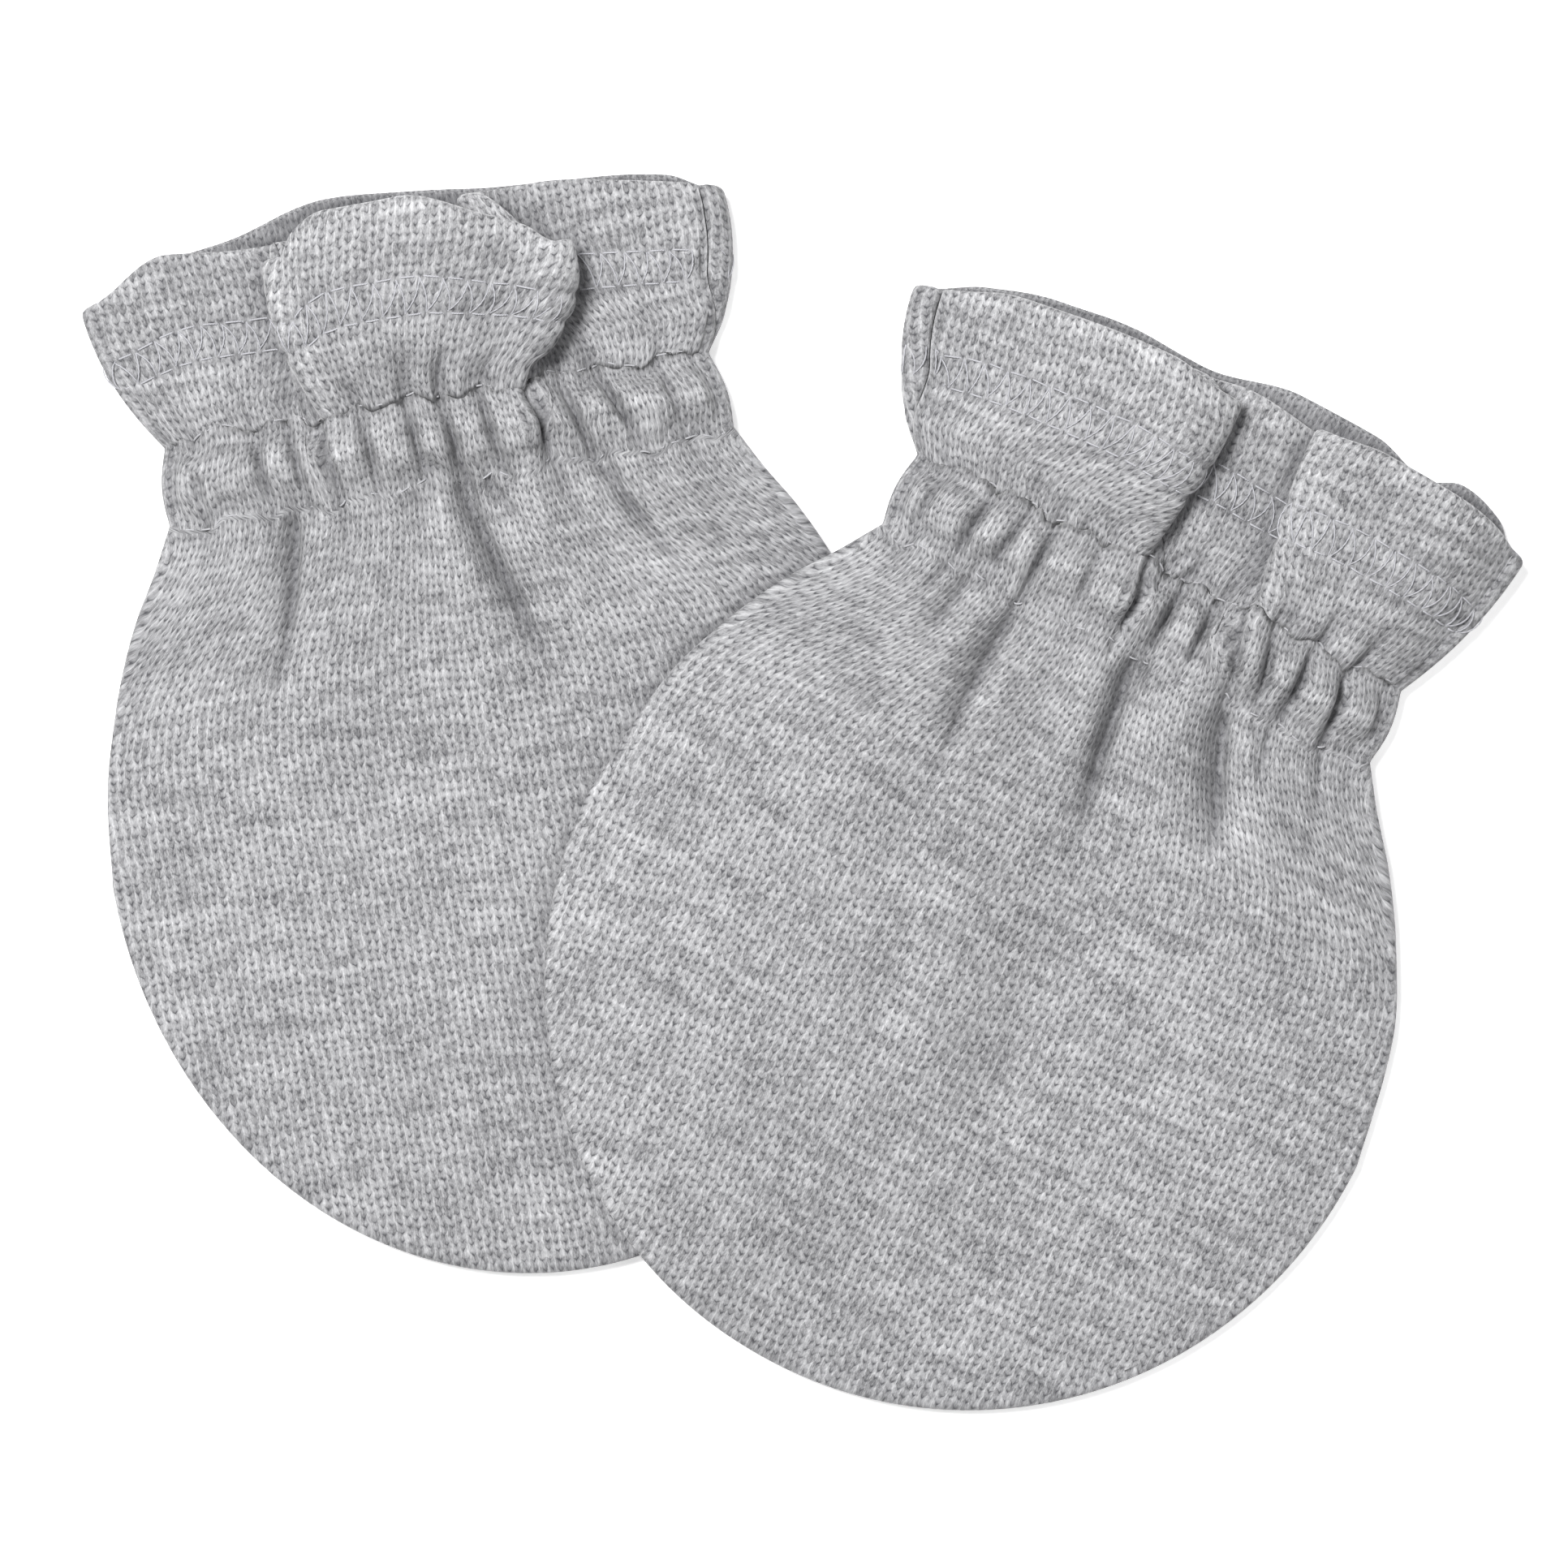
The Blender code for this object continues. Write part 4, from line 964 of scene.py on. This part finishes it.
def rowLine(panel, r):    # the panel's outer face along one row, with its way out
    rows, outer = panel["rows"], panel["outer"]
    at = np.interp(r, rows, np.arange(len(rows)))
    j = min(int(at), len(rows) - 2)
    share = at - j
    line = outer[j] * (1 - share) + outer[j + 1] * share
    across = np.gradient(line, axis=0)
    down = outer[min(j + 2, len(rows) - 1)] - outer[max(j - 1, 0)]
    return line, unit(np.cross(across, down))


def evenPlaces(line, pitch):    # column positions an even pitch apart along a line
    lengths = runLengths(line)
    return np.interp(np.arange(0.4, lengths[-1] - 0.3, pitch), lengths, np.arange(len(line)))


def takePoints(values, at):
    columns = np.arange(len(values))
    return np.stack([np.interp(at, columns, values[:, k]) for k in range(3)], -1)


def segment(name, start, end, out, sign):    # one thread from hole to hole, on the table
    there = settle(name, np.stack([start, end, (start + end) / 2, (start + end) / 2 + out]))
    run, face = there[1] - there[0], there[3] - there[2]
    length = np.linalg.norm(run)
    return (there[0] + there[1]) / 2, run / length, face / np.linalg.norm(face), length, sign


def panelThreads(panel, isFront):
    name, needles, loopers, wrist = panel["name"], [], [], []
    flip, lift = (1.0, 0.0) if isFront else (-1.0, sewing["backLift"])

    def row(r, at, stitches):    # a row of stitches through the places
        line, out = rowLine(panel, r)
        points, outs = takePoints(line + [0, 0, lift], at), unit(takePoints(out * flip, at))
        for a, b, o in zip(points, points[1:], outs):
            short = unit(b - a) * sewing["gap"]
            stitches.append(segment(name, a + short, b - short, o, 1))
        return points, outs

    for r in (1.0, 2.0):
        row(r, evenPlaces(rowLine(panel, r)[0], sewing["wristPitch"]), wrist)
    upper, lower = cloth["needleRows"]
    at = evenPlaces(rowLine(panel, (upper + lower) / 2)[0], sewing["needlePitch"])
    top, outs = row(upper, at, needles)
    low, _ = row(lower, (at[:-1] + at[1:]) / 2, needles)
    for k in range(len(low)):
        loopers.append(segment(name, top[k], low[k], outs[k], 1))
        loopers.append(segment(name, low[k], top[k + 1], outs[k], -1))
    return {"HemStitches": needles, "HemLoopers": loopers, "WristStitches": wrist}


def threadTree(name):    # a bent, twisted thread on each point, along its run
    tree, w, given, out = newGroup(name, [
        ("Geometry", "Geometry", None), ("Float", "Thread Width", 0.0003),
        ("Float", "Arch", 0.00016), ("Float", "Dip", 0.0001), ("Float", "Bow", 0.0),
        ("Float", "Wobble", 0.06), ("Int", "Seed", sewing["seed"]),
        ("Material", "Material", None)], [("Geometry", "Geometry")], "GeometryNodeTree")

    def kept(label, geometry, value):    # the value stays with each point
        node = w.add("GeometryNodeCaptureAttribute", domain="POINT")
        node.capture_items.new("FLOAT", label)
        w.feed(node, "Geometry", geometry)
        w.feed(node, 1, value)
        return node.outputs

    def named(label, kind):
        return w.add("GeometryNodeInputNamedAttribute", {"Name": label},
                     data_type=kind).outputs["Attribute"]

    line = w.add("GeometryNodeCurvePrimitiveLine", {"Start": (-0.5, 0, 0), "End": (0.5, 0, 0)})
    parts = w.add("GeometryNodeResampleCurve", {"Count": 8, "Curve": line.outputs["Curve"]})
    factor = w.add("GeometryNodeSplineParameter").outputs["Factor"]
    sine = w.math("SINE", w.times(factor, math.pi))
    rise = w.math("POWER", sine, 0.6)
    height = w.minus(w.times(rise, given["Arch"]), w.times(w.minus(1.0, rise), given["Dip"]))
    offset = w.add("ShaderNodeCombineXYZ", {"Y": w.times(sine, given["Bow"]), "Z": height})
    bent = w.add("GeometryNodeSetPosition", {"Geometry": parts.outputs["Curve"],
                                             "Offset": offset.outputs[0]})
    along = kept("along", bent.outputs[0], factor)
    ring = w.add("GeometryNodeCurvePrimitiveCircle", {
        "Resolution": 6, "Radius": w.math("DIVIDE", given["Thread Width"], 2.0)})
    around = kept("round", ring.outputs["Curve"],
                  w.add("GeometryNodeSplineParameter").outputs["Factor"])
    tube = w.add("GeometryNodeCurveToMesh", {
        "Fill Caps": True, "Curve": along["Geometry"], "Profile Curve": around["Geometry"]})
    store = w.add("GeometryNodeStoreNamedAttribute", {
        "Name": "twist", "Geometry": tube.outputs["Mesh"],
        "Value": w.plus(w.times(along[1], 3.0), around[1])}, data_type="FLOAT", domain="POINT")
    alongRun = w.add("FunctionNodeAlignRotationToVector", {"Vector": named("run", "FLOAT_VECTOR")},
                     axis="X")
    faceOut = w.add("FunctionNodeAlignRotationToVector", {
        "Rotation": alongRun.outputs["Rotation"], "Vector": named("face", "FLOAT_VECTOR")},
        axis="Z", pivot_axis="X")
    chance = w.add("FunctionNodeRandomValue", {
        2: w.times(given["Wobble"], -1.0), 3: given["Wobble"], "Seed": given["Seed"]},
        data_type="FLOAT")
    swing = w.add("ShaderNodeCombineXYZ", {"Z": chance.outputs[1]})
    swung = w.add("FunctionNodeRotateRotation", {
        "Rotation": faceOut.outputs["Rotation"], "Rotate By": swing.outputs[0]},
        rotation_space="LOCAL")
    size = w.add("ShaderNodeCombineXYZ", {"X": named("span", "FLOAT"), "Y": named("side", "FLOAT"),
                                          "Z": 1.0})
    spread = w.add("GeometryNodeInstanceOnPoints", {
        "Points": given["Geometry"], "Instance": store.outputs["Geometry"],
        "Rotation": swung.outputs["Rotation"], "Scale": size.outputs[0]})
    real = w.add("GeometryNodeRealizeInstances", {0: spread.outputs["Instances"]})
    soft = w.add("GeometryNodeSetShadeSmooth", {"Geometry": real.outputs[0]})
    dressed = w.add("GeometryNodeSetMaterial", {"Geometry": soft.outputs[0],
                                                "Material": given["Material"]})
    w.feed(out, 0, dressed.outputs[0])
    return tree


def sewThreads(name, stitches, tree, values):
    mesh = bpy.data.meshes.new(name + "Points")
    mesh.from_pydata([stitch[0] for stitch in stitches], [], [])
    for k, label, kind in ((1, "run", "FLOAT_VECTOR"), (2, "face", "FLOAT_VECTOR"),
                           (3, "span", "FLOAT"), (4, "side", "FLOAT")):
        layer = mesh.attributes.new(label, kind, "POINT")
        layer.data.foreach_set("value" if kind == "FLOAT" else "vector",
                               np.array([stitch[k] for stitch in stitches], float).ravel())
    points = bpy.data.objects.new(name + "Points", mesh)
    bpy.context.scene.collection.objects.link(points)
    modifier = points.modifiers.new("threads", "NODES")
    modifier.node_group = tree
    names = {item.name: item.identifier for item in tree.interface.items_tree
             if item.item_type == "SOCKET" and item.in_out == "INPUT"}
    for label, value in values.items():
        modifier[names[label]] = value
    graph = bpy.context.evaluated_depsgraph_get()
    real = bpy.data.meshes.new_from_object(points.evaluated_get(graph), depsgraph=graph,
                                           preserve_all_data_layers=True)
    real.name = name
    piece = bpy.data.objects.new(name, real)
    bpy.context.scene.collection.objects.link(piece)
    points.modifiers.clear()
    bpy.data.objects.remove(points, do_unlink=True)
    faceOutward(real)
    return piece


# ---- materials ----

knit = {
    "wale": 0.77, "strand": 0.86, "unevenness": 0.55,    # of the loops, in millimetres
    "bendScale": 0.7, "slant": 0.45, "ridgeShape": 3.0, "ridge": 0.58, "ground": 0.42,
    "gap": 0.62, "gapNarrows": 0.5, "gapShape": 2.3, "leastGap": 0.3,
    # how fine the streaks along the courses, the clouds and the hairs are, across and along
    "streakStretch": (0.10, 1.0, 1.0), "streakScale": 1.1, "cloudScale": 0.12,
    "hairStretch": (7.5, 2.4, 1.0),
    # how dark the painted shade in the gap at a loop is, and the weights of fibre, loop, streak
    # and cloud
    "slitShade": 0.95, "hairs": 1.2, "strands": 0.28, "streaks": 0.5, "clouds": 0.22,
    # the dark and pale fibres, the colour that painted shade goes to, and how strong the painted
    # shade of hollows is
    "dark": (0.05, 0.05, 0.053), "pale": (0.60, 0.60, 0.613), "deep": (0.06, 0.06, 0.066, 1),
    "paintedShadeStrength": 0.72, "bump": 0.00004, "fuzzBump": 0.00002,
    "rough": 0.96, "smoother": 0.12, "sheen": 0.25, "sheenRough": 0.4, "specular": 0.25,
    "coverThread": (0.395, 0.395, 0.42), "wristThread": (0.38, 0.38, 0.398),
}


def knitGroup():    # pale wavy wales with an uneven gap where each loop meets the next; the gap's dark is painted shade, from the loops' height
    tree, w, given, out = newGroup("knitLoops", [
        ("Vector", "Vector", None), ("Float", "Wale Width", knit["wale"]),
        ("Float", "Strand Length", knit["strand"]), ("Float", "Unevenness", knit["unevenness"])],
        [("Float", "Height"), ("Float", "Strand"), ("Float", "Slit")])
    shift = w.vector("SUBTRACT", {0: w.noise(given["Vector"], knit["bendScale"], 4.0)["Color"],
                                  1: (0.5, 0.5, 0.5)})
    amount = w.vector("SCALE", {0: shift, "Scale": given["Unevenness"]})
    place = w.vector("ADD", {0: given["Vector"], 1: amount})
    parts = w.add("ShaderNodeSeparateXYZ", {0: place}).outputs
    column = w.math("DIVIDE", parts["X"], given["Wale Width"])
    wale, within = w.math("FLOOR", column), w.math("FRACT", column)
    away = w.times(w.math("ABSOLUTE", w.minus(within, 0.5)), 2.0)
    jump = w.add("ShaderNodeTexWhiteNoise", {"W": wale}, noise_dimensions="1D").outputs["Value"]
    down = w.plus(w.math("DIVIDE", parts["Y"], given["Strand Length"]),
                  w.plus(w.times(away, knit["slant"]), jump))
    wave = w.math("ABSOLUTE", w.minus(w.math("FRACT", down), 0.5))
    ends = w.math("POWER", w.times(wave, 2.0), knit["gapShape"])
    cell = w.add("ShaderNodeCombineXYZ", {"X": w.math("FLOOR", w.times(column, 2.0)),
                                          "Y": w.math("FLOOR", down)})
    chance = w.add("ShaderNodeTexWhiteNoise", {"Vector": cell.outputs[0]},
                   noise_dimensions="2D").outputs
    other = w.add("ShaderNodeSeparateColor", {0: chance["Color"]}).outputs["Green"]
    ridge = w.plus(w.times(w.math("POWER", away, knit["ridgeShape"]), knit["ridge"]),
                   knit["ground"])
    gap = w.times(ends, w.minus(knit["gap"], w.times(away, knit["gapNarrows"])))
    gap = w.times(gap, w.plus(knit["leastGap"], other))
    height = w.math("MAXIMUM", w.minus(ridge, gap), 0.0)
    w.feed(out, "Height", height)
    w.feed(out, "Strand", chance["Value"])
    w.feed(out, "Slit", w.minus(1.0, height))
    return tree


def heatherGroup():    # grey and white fibres spun together, with painted shade in the loops' gaps and in hollows and a painted highlight on crests
    tree, w, given, out = newGroup("heatherFibres", [
        ("Vector", "Vector", None), ("Float", "Strand", 0.5), ("Float", "Slit", 0.0),
        ("Color", "Dark Fibre", (*knit["dark"], 1)), ("Color", "Pale Fibre", (*knit["pale"], 1)),
        ("Float", "Slit Shade", knit["slitShade"]), ("Float", "Streaks", knit["streaks"]),
        ("Float", "Painted Shade", 0.0)], [("Color", "Color"), ("Float", "Fuzz")])

    def stretched(scale):
        return w.add("ShaderNodeMapping", {"Vector": given["Vector"], "Scale": scale}).outputs[0]

    streak = w.noise(stretched(knit["streakStretch"]), knit["streakScale"], 2.0)[0]
    cloud = w.noise(given["Vector"], knit["cloudScale"], 2.0)[0]
    hair = w.noise(stretched(knit["hairStretch"]), 1.0, 4.0, 0.7)[0]
    mixed = 0.5
    for value, weight in ((streak, given["Streaks"]), (given["Strand"], knit["strands"]),
                          (hair, knit["hairs"]), (cloud, knit["clouds"])):
        mixed = w.plus(w.centred(value, weight), mixed)
    fibre = w.mix(mixed, given["Dark Fibre"], given["Pale Fibre"])
    fibre.clamp_factor = True
    # painted shade: darker in the gaps between loops and in the cloth's hollows
    light = w.times(w.minus(1.0, w.times(w.math("POWER", given["Slit"], 2.2),
                                         given["Slit Shade"])),
                    w.minus(1.0, given["Painted Shade"]))
    dark = w.mix(w.minus(1.0, light), fibre.outputs[2], knit["deep"])
    dark.clamp_factor = False    # crests come out paler: a painted highlight
    w.feed(out, "Color", dark.outputs[2])
    w.feed(out, "Fuzz", hair)
    return tree


def knitMaterial(name, loops, heather, tint):
    material, w, shader = newMaterial(name)
    place = w.add("ShaderNodeUVMap", uv_map="clothPlace").outputs[0]
    loop = w.add("ShaderNodeGroup", {
        "Vector": place, "Wale Width": knit["wale"], "Strand Length": knit["strand"],
        "Unevenness": knit["unevenness"]}, node_tree=loops).outputs
    # the fibres' colour takes painted shade from the loops' gaps and from the stored shade
    # attribute
    fibres = w.add("ShaderNodeGroup", {
        "Vector": place, "Strand": loop["Strand"], "Slit": loop["Slit"],
        "Dark Fibre": (*(c * tint for c in knit["dark"]), 1),
        "Pale Fibre": (*(c * tint for c in knit["pale"]), 1),
        "Slit Shade": knit["slitShade"], "Streaks": knit["streaks"],
        "Painted Shade": w.times(w.attribute("paintedShade"), knit["paintedShadeStrength"])}, node_tree=heather).outputs
    fine = w.bump(fibres["Fuzz"], 1.0, knit["fuzzBump"])
    rough = w.minus(knit["rough"], w.times(loop["Height"], knit["smoother"]))
    for key, value in (("Base Color", fibres["Color"]), ("Roughness", rough),
                       ("Normal", w.bump(loop["Height"], 1.0, knit["bump"], Normal=fine)),
                       ("Sheen Weight", knit["sheen"]), ("Sheen Roughness", knit["sheenRough"]),
                       ("Specular IOR Level", knit["specular"])):
        w.feed(shader, key, value)
    return material


def threadMaterial(name):
    material, w, shader = newMaterial(name)
    ply = w.math("ABSOLUTE", w.math("SINE", w.times(w.attribute("twist"), 2 * math.pi)))
    speck = w.noise(w.add("ShaderNodeTexCoord").outputs["Object"], 900.0, 2.0, kind="3D")[0]
    tone = w.plus(w.times(ply, 0.45), w.times(speck, 0.55))
    dark, pale = [(*(min(1, c * share) for c in knit[name]), 1) for share in (0.72, 1.25)]
    for key, value in (("Base Color", w.mix(tone, dark, pale).outputs[2]), ("Roughness", 0.7),
                       ("Normal", w.bump(ply, 0.7, 0.00005)), ("Sheen Weight", 0.15)):
        w.feed(shader, key, value)
    return material


# ---- making the pieces ----

loops, heather = knitGroup(), heatherGroup()
threads = {name: threadMaterial(name) for name in ("coverThread", "wristThread")}
needleTree = threadTree("sewnThreads")
colours = {"leftFront": 1.0, "leftBack": 0.96, "rightFront": 1.01, "rightBack": 0.97}
panels = {}
for name in mittens:
    for isFront in (False, True):
        label = name + ("Front" if isFront else "Back")
        mesh, panel = buildPanel(name, isFront)
        piece = bpy.data.objects.new(label + "Cloth", mesh)
        bpy.context.scene.collection.objects.link(piece)
        mesh.materials.append(knitMaterial(label + "Knit", loops, heather, colours[label]))
        slot = f"{name}_{'front' if isFront else 'back'}"
        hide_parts("mitten_" + slot)
        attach(piece, "root")
        panels[label] = piece, panel, isFront, slot + "_knit"
        print("panel", label, len(mesh.polygons), "faces")

top = topField([panel["top"] for _, panel, _, _ in panels.values()])
for piece, panel, _, _ in panels.values():
    paintHollowShade(piece.data, panel, top)
print("hollows shaded")

for label, (piece, panel, isFront, slot) in panels.items():
    sewn = []
    for k, (kind, stitches) in enumerate(panelThreads(panel, isFront).items()):
        width, frontArch, backArch, bow, wobble = sewing[kind]
        sewn.append(sewThreads(label + kind, stitches, needleTree, {
            "Thread Width": width * mm, "Arch": (frontArch if isFront else backArch) * mm,
            "Dip": sewing["dip"] * mm, "Bow": bow * mm, "Wobble": wobble,
            "Seed": sewing["seed"] + k,
            "Material": threads["wristThread" if kind == "WristStitches" else "coverThread"]}))
        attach(sewn[-1], "root")
    print("sewing", label, [len(thread.data.polygons) for thread in sewn], "faces")

# ---- floor, light and camera ----

studio = {
    "floorSize": 3.0, "floorColour": (0.96, 0.96, 0.96, 1), "floorGlow": 0.4,
    "world": 0.14, "cameraHeight": 0.9, "frameWidth": 0.1449, "centre": (-0.00165, 0.0009),
    # place, size, watts
    "lights": [((-0.34, 0.30, 1.0), 0.40, 18.5), ((0.55, 0.10, 0.8), 0.6, 2.2),
               ((-0.1, -0.6, 0.8), 0.6, 1.8)],
}

floorMesh = bpy.data.meshes.new("floor")
reach = studio["floorSize"] / 2
floorMesh.from_pydata([(-reach, -reach, 0), (reach, -reach, 0), (reach, reach, 0),
                       (-reach, reach, 0)], [], [(0, 1, 2, 3)])
floor = bpy.data.objects.new("floor", floorMesh)
bpy.context.scene.collection.objects.link(floor)
floor.location.z = -0.00005    # just under the cloth
paper, w, shader = newMaterial("paper")
grain = w.noise(w.add("ShaderNodeTexCoord").outputs["Object"], 400.0, 2.0, kind="3D")[0]
for key, value in (("Roughness", w.plus(0.85, w.times(grain, 0.1))),
                   ("Base Color", studio["floorColour"]), ("Emission Color", (1, 1, 1, 1)),
                   ("Emission Strength", studio["floorGlow"])):
    w.feed(shader, key, value)
floorMesh.materials.append(paper)

for k, (place, size, watts) in enumerate(studio["lights"]):
    lamp = bpy.data.lights.new(f"softBox{k}", "AREA")
    lamp.shape, lamp.size, lamp.energy = "DISK", size, watts
    light = bpy.data.objects.new(f"softBox{k}", lamp)
    light.location = place
    direction = -np.array(place) / np.linalg.norm(place)
    light.rotation_euler = (math.acos(-direction[2]), 0,
                            math.atan2(direction[1], direction[0]) - math.pi / 2)
    bpy.context.scene.collection.objects.link(light)

world = bpy.data.worlds.new("studio")
world.use_nodes = True
world.node_tree.nodes["Background"].inputs["Color"].default_value = (1, 1, 1, 1)
world.node_tree.nodes["Background"].inputs["Strength"].default_value = studio["world"]
bpy.context.scene.world = world
bpy.context.scene.view_settings.view_transform = "Standard"

lens = bpy.data.cameras.new("camera")
lens.sensor_width = 36.0
lens.lens = 36.0 * studio["cameraHeight"] / studio["frameWidth"]
lens.clip_start = 0.01
camera = bpy.data.objects.new("camera", lens)
camera.location = (*studio["centre"], studio["cameraHeight"])
bpy.context.scene.collection.objects.link(camera)
bpy.context.scene.camera = camera
print("studio ready")
